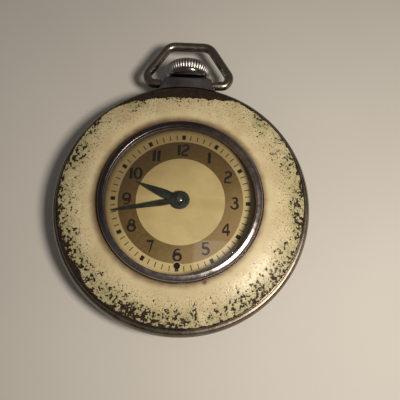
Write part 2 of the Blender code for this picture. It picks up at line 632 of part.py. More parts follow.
def make_winding_work():
    pitch_radius = 3.1
    module = 2 * pitch_radius / CONTRATE_TEETH
    bore = circle(CENTER, 0.62, 10)
    stack("winding_pinion", [(14.75, 15.95, [leaf_outline(CENTER, WINDING_LEAVES, module, math.pi / 2), bore]),
                             (15.95, 16.25, [circle(CENTER, 0.8, 10), bore])],
          (0.0, 14.75, STEM_Z), "steel", along_stem)
    square = circle(CENTER, 0.5, 10)
    ends = toothed(CENTER, 12, 0.15, 0.0, ((0.6, -0.15), (0.6, 0.15), (-0.6, 0.5)))
    stack("clutch_wheel", [(13.45, 13.8, [ends, square]), (13.8, 14.2, [circle(CENTER, 0.7), square]),
                           (14.2, 14.6, [ends, square])], (0.0, 13.45, STEM_Z), "steel", along_stem)

    direction = math.atan2(BARREL[1] - CROWN_WHEEL[1], BARREL[0] - CROWN_WHEEL[0])
    module = mesh_module(math.dist(BARREL, CROWN_WHEEL), RATCHET_TEETH, CROWN_WHEEL_TEETH)
    stack("crown_wheel", [(1.05, 1.4, [wheel_outline(CROWN_WHEEL, CROWN_WHEEL_TEETH, module, direction)]),
                          (1.4, 3.9, [circle(CROWN_WHEEL, 0.6)]),
                          (3.9, 4.35, [circle(CROWN_WHEEL, 3.5, 24)]),
                          (4.35, 4.9, contrate_teeth(CROWN_WHEEL, CONTRATE_TEETH, 2.7, 3.4, math.pi / 2))],
          (*CROWN_WHEEL, 1.05), "steel")
    stack("ratchet_wheel", [(1.05, 1.4, [wheel_outline(BARREL, RATCHET_TEETH, module,
                                                       gap_phase(direction, RATCHET_TEETH)),
                                         circle(BARREL, 0.7)])], (*BARREL, 1.05), "steel")
    hole = circle(BARREL, 0.35, 10)
    stack("barrel_arbor", [(1.05, 1.6, [circle(BARREL, 0.6), hole]),
                           (1.6, 2.25, [circle(BARREL, 0.65), hole]),
                           (2.25, 2.45, [circle(BARREL, 0.65)]), (2.45, 3.0, [circle(BARREL, 0.8)]),
                           (3.0, 4.15, [circle(BARREL, 1.1)]),
                           (4.15, 5.35, [circle(BARREL, 0.6)]), (5.35, PIVOT_HIGH, [circle(BARREL, 0.5)])],
          (*BARREL, 1.05), "steel")
    stack("ratchet_screw", [(0.8, 1.0, [circle(BARREL, 1.3)]), (1.0, 2.15, [circle(BARREL, 0.27, 8)])],
          (*BARREL, 0.8), "blued_steel")

    tip = clock_point(BARREL, 128.0, 8.35)
    stack("click", [(1.05, 1.4, [pear(CLICK, 0.8, tip, 0.2), circle(CLICK, 0.4, 8)])], (*CLICK, 1.05), "steel")
    stack("click_screw", [(0.8, 1.0, [circle(CLICK, 0.75)]), (1.0, 2.3, [circle(CLICK, 0.28, 8)])],
          (*CLICK, 0.8), "blued_steel")
    middle = clock_point(BARREL, 116.0, 10.2)
    end = clock_point(BARREL, 126.0, 9.2)
    stack("click_spring", [(1.1, 1.35, [ribbon([CLICK_SPRING, clock_point(BARREL, 120.0, 11.3), middle,
                                                clock_point(BARREL, 121.0, 9.4), end], 0.12)])],
          (*CLICK_SPRING, 1.1), "blued_steel")


def make_keyless_levers():
    pin = (0.1, 16.8)
    stack("setting_lever", [(5.6, 6.25, [circle(SETTING_LEVER, 0.3, 8)]),
                            (6.25, 6.5, [circle(SETTING_LEVER, 0.3, 8), circle(pin, 0.18, 8)]),
                            (6.5, 6.75, [pear(SETTING_LEVER, 0.8, pin, 0.36)])],
          (*SETTING_LEVER, 6.5), "steel")
    pin = (0.0, 14.0)
    stack("clutch_lever", [(5.6, 6.7, [circle(CLUTCH_LEVER, 0.3, 8)]),
                           (6.7, 7.05, [circle(CLUTCH_LEVER, 0.3, 8), circle(pin, 0.13, 8)]),
                           (7.05, 7.3, [pear(CLUTCH_LEVER, 0.75, pin, 0.3)])],
          (*CLUTCH_LEVER, 7.05), "steel")


# -------------------------------------------------------------------- frame
def make_plates():
    slot = [(0.75, 17.7), (1.7, 17.7), (1.7, 11.95)]     # (half width, Y) of the stem's slot, inwards
    edge = math.asin(slot[0][0] / FRONT_PLATE_R)
    first, last = math.pi / 2 + edge, math.pi / 2 + 2 * math.pi - edge
    outline = [(FRONT_PLATE_R * math.cos(first + (last - first) * i / SEGMENTS),
                FRONT_PLATE_R * math.sin(first + (last - first) * i / SEGMENTS)) for i in range(SEGMENTS + 1)]
    outline += slot + [(-x, y) for x, y in slot[::-1]]
    holes = [circle(CENTER, 0.42, 10), circle(BARREL, 0.6, 10)]
    holes += [circle(spot, 0.3, 8) for spot in (THIRD, FOURTH, ESCAPE, PALLET, BALANCE)]
    holes += [circle(spot, 0.4, 8) for spot in (MINUTE, SETTING, SETTING_LEVER, CLUTCH_LEVER, (0.0, KEYHOLE_Y))]
    holes += [circle(spot, 0.45, 8) for spot in DIAL_FEET]
    holes += [circle(spot, 0.55, 8) for spot in PILLARS + [PALLET_POST]]
    stack("front_plate", [(FRONT_LOW, FRONT_HIGH, [outline] + holes)], (0.0, 0.0, FRONT_LOW), "brass")

    holes = [circle(CENTER, 0.35, 8), circle(BARREL, 0.75), circle(CROWN_WHEEL, 0.72),
             circle(BALANCE, BALANCE_R + 0.35, 24)]
    holes += [circle(spot, 0.3, 8) for spot in (THIRD, FOURTH, ESCAPE)]
    holes += [circle(spot, 0.38, 8) for spot in PILLARS + [CLICK, COCK_FOOT]]
    stack("back_plate", [(BACK_LOW, BACK_HIGH, [circle(CENTER, BACK_PLATE_R, SEGMENTS)] + holes)],
          (0.0, 0.0, BACK_LOW), "plate_nickel")


def make_fasteners():
    for number, spot in enumerate(PILLARS, 1):
        thread = circle(spot, 0.36, 8)
        stack(f"pillar_{number}", [(2.45, 3.8, [circle(spot, 0.9), thread]), (3.8, 5.35, [circle(spot, 0.9)]),
                                   (5.35, 6.3, [circle(spot, 0.45, 8)])], (*spot, 2.45), "brass")
        stack(f"plate_screw_{number}", [(1.3, 1.55, [circle(spot, 0.85)]),
                                        (1.55, 3.6, [circle(spot, 0.28, 8)])], (*spot, 1.3), "blued_steel")
    for number, spot in enumerate(CASE_SCREWS, 1):
        stack(f"case_screw_{number}", [(4.8, 6.5, [circle(spot, 0.35, 8)]), (6.5, 6.8, [circle(spot, 1.1)])],
              (*spot, 6.5), "steel")


# -------------------------------------------------------------- going train
def pivoted(name, centre, origin_z, middle_layers, finish_name, thin, thick):
    """A wheel on an arbor: thin pivots at both ends, thick arbor between."""
    low, high = middle_layers[0][0], middle_layers[-1][1]
    layers = [(PIVOT_LOW, ARBOR_LOW, [circle(centre, thin, 8)]), (ARBOR_LOW, low, [circle(centre, thick, 8)])]
    layers += middle_layers
    layers.append((high, ARBOR_HIGH, [circle(centre, thick, 8)]))
    layers.append((ARBOR_HIGH, PIVOT_HIGH, [circle(centre, thin, 8)]))
    stack(name, layers, (*centre, origin_z), finish_name)


def make_train():
    toward_barrel = math.atan2(BARREL[1], BARREL[0])
    toward_third = math.atan2(THIRD[1], THIRD[0])
    toward_fourth = math.atan2(FOURTH[1] - THIRD[1], FOURTH[0] - THIRD[0])
    toward_escape = math.atan2(ESCAPE[1] - FOURTH[1], ESCAPE[0] - FOURTH[0])
    barrel_module = mesh_module(BARREL_DISTANCE, BARREL_TEETH, CENTER_LEAVES)
    center_module = mesh_module(THIRD_DISTANCE, CENTER_TEETH, THIRD_LEAVES)
    third_module = mesh_module(FOURTH_DISTANCE, THIRD_TEETH, FOURTH_LEAVES)
    fourth_module = mesh_module(ESCAPE_DISTANCE, FOURTH_TEETH, ESCAPE_LEAVES)

    stack("mainspring_barrel", [(2.65, 2.95, [wheel_outline(BARREL, BARREL_TEETH, barrel_module,
                                                            toward_barrel + math.pi), circle(BARREL, 0.95)]),
                                (2.95, 4.2, [circle(BARREL, 7.5, 32), circle(BARREL, 7.1, 32)])],
          (*BARREL, 2.65), "brass")
    stack("barrel_lid", [(4.28, 4.5, [circle(BARREL, 7.45, 32), circle(BARREL, 0.78)])],
          (*BARREL, 4.28), "brass")
    coil = spiral(BARREL, 1.45, 6.8, 4, toward_barrel)
    stack("mainspring", [(3.1, 4.1, [ribbon(coil, 0.12)])], (*BARREL, 3.1), "blued_steel")

    stack("center_wheel", [(PIVOT_LOW, 2.45, [circle(CENTER, 0.25, 8)]), (2.45, 2.55, [circle(CENTER, 0.5, 8)]),
                           (2.55, 3.15, [leaf_outline(CENTER, CENTER_LEAVES, barrel_module,
                                                      gap_phase(toward_barrel + math.pi, CENTER_LEAVES))]),
                           (3.15, 4.75, [circle(CENTER, 0.55, 10)]),
                           (4.75, 5.05, [wheel_outline(CENTER, CENTER_TEETH, center_module, toward_third)]
                            + crossings(CENTER, 1.6, 6.2, 4, toward_third)),
                           (5.05, 5.3, [circle(CENTER, 0.55, 10)]), (5.3, 9.3, [circle(CENTER, 0.3, 8)])],
          (*CENTER, 4.75), "brass")
    pivoted("third_wheel", THIRD, 4.0,
            [(4.0, 4.25, [wheel_outline(THIRD, THIRD_TEETH, third_module, toward_fourth)]
              + crossings(THIRD, 1.2, 4.9, 4, toward_fourth)),
             (4.25, 4.6, [circle(THIRD, 0.35, 8)]),
             (4.6, 5.15, [leaf_outline(THIRD, THIRD_LEAVES, center_module,
                                       gap_phase(toward_third, THIRD_LEAVES))])],
            "brass", 0.2, 0.35)
    pivoted("fourth_wheel", FOURTH, 3.0,
            [(3.0, 3.25, [wheel_outline(FOURTH, FOURTH_TEETH, fourth_module, toward_escape)]
              + crossings(FOURTH, 1.1, 4.2, 4, toward_escape)),
             (3.25, 3.85, [circle(FOURTH, 0.3, 8)]),
             (3.85, 4.4, [leaf_outline(FOURTH, FOURTH_LEAVES, third_module,
                                       gap_phase(toward_fourth, FOURTH_LEAVES))])],
            "brass", 0.2, 0.3)
    tip = 3.05
    escape = toothed(ESCAPE, ESCAPE_TEETH, 2 * tip / ESCAPE_TEETH, clock_to_math(BALANCE_DIRECTION), CLUB_TOOTH)
    pivoted("escape_wheel", ESCAPE, 3.45,
            [(2.85, 3.4, [leaf_outline(ESCAPE, ESCAPE_LEAVES, fourth_module,
                                       gap_phase(toward_escape, ESCAPE_LEAVES))]),
             (3.4, 3.45, [circle(ESCAPE, 0.35, 8)]),
             (3.45, 3.7, [escape] + crossings(ESCAPE, 0.8, 1.6, 4, 0.0, 0.25))],
            "steel", 0.2, 0.3)


# --------------------------------------------------------------- escapement
def turned_outline(points, centre, angle):
    """Moves an outline from the origin to a centre, turned by an angle."""
    return [(centre[0] + x * math.cos(angle) - y * math.sin(angle),
             centre[1] + x * math.sin(angle) + y * math.cos(angle)) for x, y in points]


def make_escapement():
    along = clock_to_math(BALANCE_DIRECTION)
    lever = [(-0.1, 0.55), (-0.75, 2.15), (-1.1, 2.05), (-0.5, 0.0), (-1.1, -2.05), (-0.75, -2.15),
             (-0.1, -0.55), (0.4, -0.3), (2.6, -0.2), (3.2, -0.55), (3.4, -0.5), (3.05, -0.2),
             (3.05, 0.2), (3.4, 0.5), (3.2, 0.55), (2.6, 0.2), (0.4, 0.3)]
    pins = [(-0.87, 1.88), (-0.87, -1.88)]
    pin_outlines = [turned_outline(circle(pin, 0.13, 6), PALLET, along) for pin in pins]
    stack("pallet_lever", [(2.7, 3.2, [circle(PALLET, 0.18, 8)]),
                           (3.2, 3.45, [circle(PALLET, 0.18, 8)] + pin_outlines),
                           (3.45, 3.7, [turned_outline(lever[::-1], PALLET, along)]),
                           (3.7, PIVOT_HIGH, [circle(PALLET, 0.18, 8)])], (*PALLET, 3.45), "steel")
    stack("pallet_bridge", [(2.65, 2.95, [pear(PALLET_POST, 1.0, PALLET, 0.65), circle(PALLET, 0.28, 8)]),
                            (2.95, 5.3, [circle(PALLET_POST, 0.65)]),
                            (5.3, 6.2, [circle(PALLET_POST, 0.45, 8)])], (*PALLET_POST, 2.65), "plate_nickel")

    rim = [circle(BALANCE, BALANCE_R, 28), circle(BALANCE, BALANCE_R - 0.6, 28)]
    openings = crossings(BALANCE, 0.95, BALANCE_R - 0.75, 2, along, 0.5, 10)
    stack("balance_wheel", [(1.75, 1.95, rim), (1.95, 2.15, [rim[0], circle(BALANCE, 0.42)] + openings),
                            (2.15, 2.4, rim)], (*BALANCE, 1.75), "brass")
    stack("balance_staff", [(0.85, 1.35, [circle(BALANCE, 0.16, 8)]),
                            (1.35, 3.95, [circle(BALANCE, 0.36, 10)]),
                            (3.95, 5.35, [circle(BALANCE, 0.3, 8)]),
                            (5.35, PIVOT_HIGH, [circle(BALANCE, 0.2, 8)])],
          (*BALANCE, 1.35), "steel")
    jewel = clock_point(BALANCE, BALANCE_DIRECTION + 180.0, 0.9)
    stack("roller", [(2.9, 3.15, [circle(BALANCE, 1.3, 16), circle(BALANCE, 0.42)]),
                     (3.15, 3.8, [circle(jewel, 0.14, 8)])], (*BALANCE, 2.9), "steel")
    stack("hairspring", [(1.42, 1.58, [ribbon(spiral(BALANCE, 0.75, 4.2, 4, along), 0.06)])],
          (*BALANCE, 1.42), "blued_steel")


def make_balance_cock():
    arm = pear(COCK_FOOT, 1.7, BALANCE, 1.3)
    pivot = circle(BALANCE, 0.24, 8)
    stack("balance_cock", [(0.78, 0.95, [circle(BALANCE, 0.45), pivot]),
                           (0.95, 1.12, [arm, circle(COCK_FOOT, 1.0), pivot]),
                           (1.12, 1.3, [arm, circle(COCK_FOOT, 0.38, 8), pivot]),
                           (1.3, 1.52, [circle(COCK_FOOT, 1.6, 14), circle(COCK_FOOT, 0.38, 8)])],
          (*COCK_FOOT, 0.95), "plate_nickel")
    stack("cock_screw", [(0.85, 1.08, [circle(COCK_FOOT, 0.9)]), (1.08, 2.3, [circle(COCK_FOOT, 0.28, 8)])],
          (*COCK_FOOT, 0.85), "blued_steel")
    pointer = clock_point(BALANCE, 120.0, 3.6)
    stack("regulator", [(0.74, 0.9, [pear(BALANCE, 1.1, pointer, 0.15), circle(BALANCE, 0.55)])],
          (*BALANCE, 0.74), "steel")


def clear_scene():
    for item in list(bpy.data.objects):
        bpy.data.objects.remove(item, do_unlink=True)


def main():
    clear_scene()
    make_case()
    make_bezel()
    make_neck()
    make_bow()
    make_crown_and_stem()
    make_dial()
    make_hands()
    make_motion_work()
    make_winding_work()
    make_keyless_levers()
    make_plates()
    make_fasteners()
    make_train()
    make_escapement()
    make_balance_cock()


main()
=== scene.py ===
"""Looks of the open face pocket watch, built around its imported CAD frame.

Lengths are millimetres in the row frame until a mesh is made; MM turns them into metres.
Angles of places on the watch are degrees clockwise from 12 o'clock.
"""

import math

import bmesh
import bpy
import numpy as np
from mathutils import Euler, Matrix, Vector
from mathutils.geometry import delaunay_2d_cdt


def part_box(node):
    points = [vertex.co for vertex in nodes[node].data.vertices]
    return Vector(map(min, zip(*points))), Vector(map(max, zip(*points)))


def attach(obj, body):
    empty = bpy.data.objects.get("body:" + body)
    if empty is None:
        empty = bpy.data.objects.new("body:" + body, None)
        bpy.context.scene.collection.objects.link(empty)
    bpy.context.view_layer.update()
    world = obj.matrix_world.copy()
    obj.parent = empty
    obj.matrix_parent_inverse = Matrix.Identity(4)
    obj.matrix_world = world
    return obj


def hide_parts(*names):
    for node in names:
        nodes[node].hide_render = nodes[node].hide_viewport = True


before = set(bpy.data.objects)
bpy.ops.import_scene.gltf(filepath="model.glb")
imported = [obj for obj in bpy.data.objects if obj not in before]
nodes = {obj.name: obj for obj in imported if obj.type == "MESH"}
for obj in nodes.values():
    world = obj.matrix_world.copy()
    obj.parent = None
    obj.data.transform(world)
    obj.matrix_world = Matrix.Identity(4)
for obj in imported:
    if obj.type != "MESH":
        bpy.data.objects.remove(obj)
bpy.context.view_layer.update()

MM = 0.001


def low(node):
    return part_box(node)[0] / MM


def high(node):
    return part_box(node)[1] / MM


def centre(node):
    middle = (low(node) + high(node)) / 2
    return (middle.x, middle.y)


# ---------------------------------------------- sizes from CAD
CASE_R = high("case_middle").x
BAND_LOW, BAND_HIGH = low("case_middle").z, high("case_middle").z
BAND_EDGE_DROP = 0.68           # how much the band narrows at its edges
BACK_EDGE_Z, BACK_R, BACK_FLAT_R = 3.6, 24.7, 14.0
RIM_R = high("bezel").x
RIM_LOW = 7.5
PAINT_R, WORN_R, HOLE_R = 23.8, 20.0, 15.95
PAINT_EDGE_Z, PAINT_TOP_Z = 8.6, high("bezel").z
RING_R, BORE_R = 15.7, 14.35
CRYSTAL_TOP = high("crystal").z
DIAL_R, DIAL_LOW, DIAL_TOP = high("dial").x, 7.8, high("dial").z
STEM_Z = 5.9
BOW_Y, BOW_WIRE, BOW_PIN = 26.1, 0.95, 0.7
CROWN_R = 4.85
CROWN_LOW, CROWN_HIGH = low("crown").y, high("crown").y
FLUTES, FLUTE_DEPTH, FLUTES_LOW, FLUTES_HIGH = 48, 0.29, 27.8, 30.2
NECK_END, NECK_HALF_HEIGHT = high("pendant_neck").y, 2.4
HOUR_ANGLE, MINUTE_ANGLE = 291.3, 258.6
KEYHOLE_Y, KEYHOLE_R, SLOT_HALF, SLOT_END = -12.4, 0.62, 0.36, -13.5
CHAPTER_IN, CHAPTER_OUT, FIGURE_R = 8.6, 12.1, 10.42
ROUND = 288                     # segments of a smooth round piece
SHARP_ANGLE = math.radians(42.0)  # edges that turn further than this stay sharp


# ----------------------------------------------------- meshing
def clock(angle, radius):
    turn = math.radians(angle)
    return (radius * math.sin(turn), radius * math.cos(turn))


def link(name, data):
    made = bpy.data.objects.new(name, data)
    bpy.context.scene.collection.objects.link(made)
    return made


def add_object(name, verts, faces):
    """A mesh object from millimetre points, smooth except where faces meet sharply."""
    mesh = bpy.data.meshes.new(name)
    mesh.from_pydata((np.asarray(verts, float) * MM).tolist(), [], faces)
    made = link(name, mesh)
    smooth_by_angle(made)
    return made


def smooth_by_angle(made):
    """Joins coincident points, turns faces outwards and marks the edges past SHARP_ANGLE as sharp."""
    bm = bmesh.new()
    bm.from_mesh(made.data)
    bmesh.ops.remove_doubles(bm, verts=bm.verts, dist=1e-8)
    bmesh.ops.recalc_face_normals(bm, faces=bm.faces)
    for face in bm.faces:
        face.smooth = True
    for edge in bm.edges:
        edge.smooth = len(edge.link_faces) == 2 and edge.calc_face_angle(0.0) < SHARP_ANGLE
    bm.to_mesh(made.data)
    bm.free()


def cut(target, cutter):
    """Boolean difference, applied, with the cutter removed."""
    modifier = target.modifiers.new("cut", "BOOLEAN")
    modifier.operation = "DIFFERENCE"
    modifier.solver = "EXACT"
    modifier.object = cutter
    graph = bpy.context.evaluated_depsgraph_get()
    shown = bpy.data.meshes.new_from_object(target.evaluated_get(graph))
    target.modifiers.clear()
    target.data = shown
    bpy.data.objects.remove(cutter)
    smooth_by_angle(target)


def bend(start, corner, end, steps):
    """Points of a smooth curve from start to end that turns at a corner."""
    shares = [step / steps for step in range(steps + 1)]
    return [tuple((1 - t) ** 2 * start + 2 * t * (1 - t) * corner + t ** 2 * end) for t in shares]


def rounded(corners):
    """A closed profile from (r, z, fillet radius) corners."""
    points = []
    count = len(corners)
    for i, (x, y, radius) in enumerate(corners):
        if radius <= 0:
            points.append((x, y))
            continue
        before, after = Vector(corners[i - 1][:2]), Vector(corners[(i + 1) % count][:2])
        here = Vector((x, y))
        into, out = here - before, after - here
        reach = min(radius, 0.48 * into.length, 0.48 * out.length)
        points += bend(here - into.normalized() * reach, here, here + out.normalized() * reach, 4)
    return points


def rod(radius, start, end):
    """The profile of a plain rod, for lathe."""
    return [(0.0, start), (radius, start), (radius, end), (0.0, end)]


def along_stem(x, y, level):
    return (x, level, STEM_Z - y)


def upright_at(x, y):
    return lambda a, b, level: (x + a, y + b, level)


def lathe(name, profile, segments=ROUND, place=upright_at(0.0, 0.0), radius_at=None, move=None):
    """Turns a closed (radius, level) profile. radius_at(radius, level, turn) shapes it round the axis."""
    verts, faces, rows = [], [], []
    for radius, level in profile:
        if radius < 1e-6:
            rows.append([len(verts)])
            verts.append(place(0.0, 0.0, level))
            continue
        row = []
        for i in range(segments):
            turn = 2 * math.pi * i / segments
            r = radius_at(radius, level, turn) if radius_at else radius
            row.append(len(verts))
            verts.append(place(r * math.cos(turn), r * math.sin(turn), level))
        rows.append(row)
    if move is not None:
        verts = move(np.array(verts))
    for one, two in zip(rows, rows[1:] + rows[:1]):
        if len(one) == 1 and len(two) == 1:
            continue
        for i in range(segments):
            j = (i + 1) % segments
            if len(one) == 1:
                faces.append((one[0], two[j], two[i]))
            elif len(two) == 1:
                faces.append((one[i], one[j], two[0]))
            else:
                faces.append((one[i], one[j], two[j], two[i]))
    return add_object(name, verts, faces)


def arc(x, y, rx, ry, first, last, count=18):
    """Points of an oval arc; angles are counterclockwise from the right, in degrees."""
    turns = [math.radians(first + (last - first) * i / count) for i in range(count + 1)]
    return [(x + rx * math.cos(turn), y + ry * math.sin(turn)) for turn in turns]


def circle(x, y, radius, count=96):
    return arc(x, y, radius, radius, 0.0, 360.0, count)[:-1]


def plate(name, solids, holes, bottom, top):
    """A flat plate that covers the union of some outlines, less its holes."""
    points, rings = [], []
    for loop in solids + holes:
        area = sum(x0 * y1 - x1 * y0 for (x0, y0), (x1, y1) in zip(loop, loop[1:] + loop[:1]))
        rings.append(list(range(len(points), len(points) + len(loop))))
        points += [Vector(p) for p in (loop if area > 0 else loop[::-1])]
    flat, _, tris, _, _, origin = delaunay_2d_cdt(points, [], rings, 1, 1e-6)
    kept = [tri for tri, source in zip(tris, origin) if source and max(source) < len(solids)]
    count = len(flat)
    verts = [(p.x, p.y, bottom) for p in flat] + [(p.x, p.y, top) for p in flat]
    faces, border = [], {}
    for tri in kept:
        faces.append(tuple(i + count for i in tri))
        faces.append(tuple(reversed(tri)))
        for a, b in zip(tri, list(tri[1:]) + [tri[0]]):
            if (b, a) in border:
                del border[(b, a)]
            else:
                border[(a, b)] = True
    for a, b in border:
        faces.append((a, b, b + count, a + count))
    made = add_object(name, verts, faces)
    bm = bmesh.new()
    bm.from_mesh(made.data)
    loose = [v for v in bm.verts if not v.link_faces]
    bmesh.ops.delete(bm, geom=loose, context="VERTS")
    bm.to_mesh(made.data)
    bm.free()
    return made


def bevelled_plate(name, outlines, bottom, top, bevel):
    """A plate with softly rounded edges; the first outline is the outside."""
    curve = bpy.data.curves.new(name, "CURVE")
    curve.dimensions = "2D"
    curve.fill_mode = "BOTH"
    for outline in outlines:
        spline = curve.splines.new("POLY")
        spline.points.add(len(outline) - 1)
        for point, (x, y) in zip(spline.points, outline):
            point.co = (x * MM, y * MM, 0.0, 1.0)
        spline.use_cyclic_u = True
    curve.extrude = ((top - bottom) / 2 - bevel) * MM
    curve.bevel_depth = bevel * MM
    curve.bevel_resolution = 2
    curve.offset = -bevel * MM
    shape = link(name + "_curve", curve)
    graph = bpy.context.evaluated_depsgraph_get()
    graph.update()
    mesh = bpy.data.meshes.new_from_object(shape.evaluated_get(graph))
    bpy.data.objects.remove(shape)
    mesh.transform(Matrix.Translation((0, 0, (top + bottom) / 2 * MM)))
    made = link(name, mesh)
    smooth_by_angle(made)
    return made


def tube(name, path, radii, sides):
    """A round bar along a path; radii gives its radius at each point. The path lies in one level plane."""
    verts, faces = [], []
    count = len(path)
    for i, (x, y, z) in enumerate(path):
        x0, y0, _ = path[max(i - 1, 0)]
        x1, y1, _ = path[min(i + 1, count - 1)]
        across = Vector((-(y1 - y0), x1 - x0)).normalized()
        for side in range(sides):
            turn = 2 * math.pi * side / sides
            reach, up = radii[i] * math.cos(turn), radii[i] * math.sin(turn)
            verts.append((x + across.x * reach, y + across.y * reach, z + up))
    return add_object(name, verts, skin(count, sides))


def skin(rows, sides):
    """Faces of a closed bar whose points come in rows, each of so many sides."""
    faces = []
    for row in range(rows - 1):
        here, above = row * sides, (row + 1) * sides
        for side in range(sides):
            other = (side + 1) % sides
            faces.append((here + side, here + other, above + other, above + side))
    faces.append(tuple(range(sides))[::-1])
    faces.append(tuple((rows - 1) * sides + side for side in range(sides)))
    return faces


# ------------------------------------------------------- noise
def lattice(i, j, seed):
    """A fixed pseudorandom value from -1 to 1 for each whole i, j."""
    mask = 0xFFFFFFFF
    h = (i.astype(np.int64) * 374761393 + j.astype(np.int64) * 668265263 + seed * 1274126177) & mask
    h = ((h ^ (h >> 13)) * 1103515245) & mask
    h = ((h ^ (h >> 15)) * 668265263) & mask
    return ((h ^ (h >> 16)) & 0xFFFF) / 32767.5 - 1.0


def value_noise(x, y, seed):
    i, j = np.floor(x), np.floor(y)
    u, v = x - i, y - j
    u, v = u * u * (3 - 2 * u), v * v * (3 - 2 * v)
    near = lattice(i, j, seed) * (1 - u) + lattice(i + 1, j, seed) * u
    far = lattice(i, j + 1, seed) * (1 - u) + lattice(i + 1, j + 1, seed) * u
    return near * (1 - v) + far * v


def fractal(x, y, size, seed, gain=0.55):
    total, amount, norm = np.zeros_like(x), 1.0, 0.0
    x, y = x / size, y / size
    for octave in range(3):
        total += amount * value_noise(x, y, seed + octave)
        norm += amount
        amount *= gain
        x, y = 1.6 * x - 1.2 * y + 3.7, 1.2 * x + 1.6 * y + 1.3
    return total / norm


def ease(x, a, b):
    t = np.clip((x - a) / (b - a), 0.0, 1.0)
    return t * t * (3 - 2 * t)


def round_curve(angle, stops):
    """Smooth value round the dial from (angle, value) stops."""
    angles = np.array([a for a, _ in stops] + [stops[0][0] + 360.0])
    values = np.array([v for _, v in stops] + [stops[0][1]])
    return np.interp((angle - angles[0]) % 360.0 + angles[0], angles, values)


# Share of the enamel that has flaked off, by radius, and how that varies round the watch.
FLAKED_SHARE = ((17.0, 0.002), (18.5, 0.018), (20.0, 0.060), (21.0, 0.14), (22.0, 0.26), (22.6, 0.32),
                (23.3, 0.38), (23.6, 0.36), (23.8, 0.50))
FLAKED_PLACES = ((0, 0.5), (22, 0.35), (30, 0.08), (38, 0.35), (46, 1.0), (62, 1.05), (80, 0.85), (100, 1.0),
                 (125, 1.0), (148, 0.9), (170, 0.95), (190, 1.05), (215, 1.05), (235, 1.0), (255, 1.0),
                 (285, 0.95), (305, 0.75), (318, 0.25), (330, 0.6), (345, 0.8))
# Inner edge of the patch at the bow where all of the enamel has gone, and of the bare line at the rim.
BARE_EDGE = ((0, 21.35), (8, 21.45), (14, 21.85), (20, 22.55), (24, 23.5), (60, 23.9), (90, 23.95),
             (150, 23.92), (175, 23.78), (195, 23.65), (212, 23.58), (227, 23.4), (232, 22.75), (236, 22.85),
             (241, 23.5), (262, 23.65), (300, 23.75), (322, 23.75), (329, 23.25), (337, 22.35), (348, 21.7))
# The flake noise's deviation, and how many of them above its mean it is over each share of the enamel.
FLAKE_DEVIATION = 0.28
SHARES = (0.0005, 0.001, 0.003, 0.01, 0.03, 0.06, 0.1, 0.2, 0.3, 0.4, 0.5, 0.6, 0.7, 0.8)
DEVIATIONS = (3.29, 3.09, 2.75, 2.33, 1.88, 1.55, 1.28, 0.84, 0.52, 0.25, 0.0, -0.25, -0.52, -0.84)


def enamel_wear(x, y):
    """(chip, worn): chip is above 0 where the enamel has gone, worn runs from 0 to 1."""
    radius = np.hypot(x, y)
    angle = np.degrees(np.arctan2(x, y)) % 360.0
    share = np.interp(radius, *zip(*FLAKED_SHARE)) * round_curve(angle, FLAKED_PLACES)
    patches = fractal(x, y, 3.0, 11)
    flakes = fractal(x, y, 0.50, 23, 0.80)
    share = share * np.clip(1.05 + 1.5 * patches, 0.3, 2.0)
    chips = flakes - FLAKE_DEVIATION * np.interp(share, SHARES, DEVIATIONS)
    edge = round_curve(angle, BARE_EDGE) + 0.28 * fractal(x, y, 1.1, 71, 0.6) + 0.45 * flakes
    return np.maximum(chips, (radius - edge) * 1.1), ease(share, 0.005, 0.30)


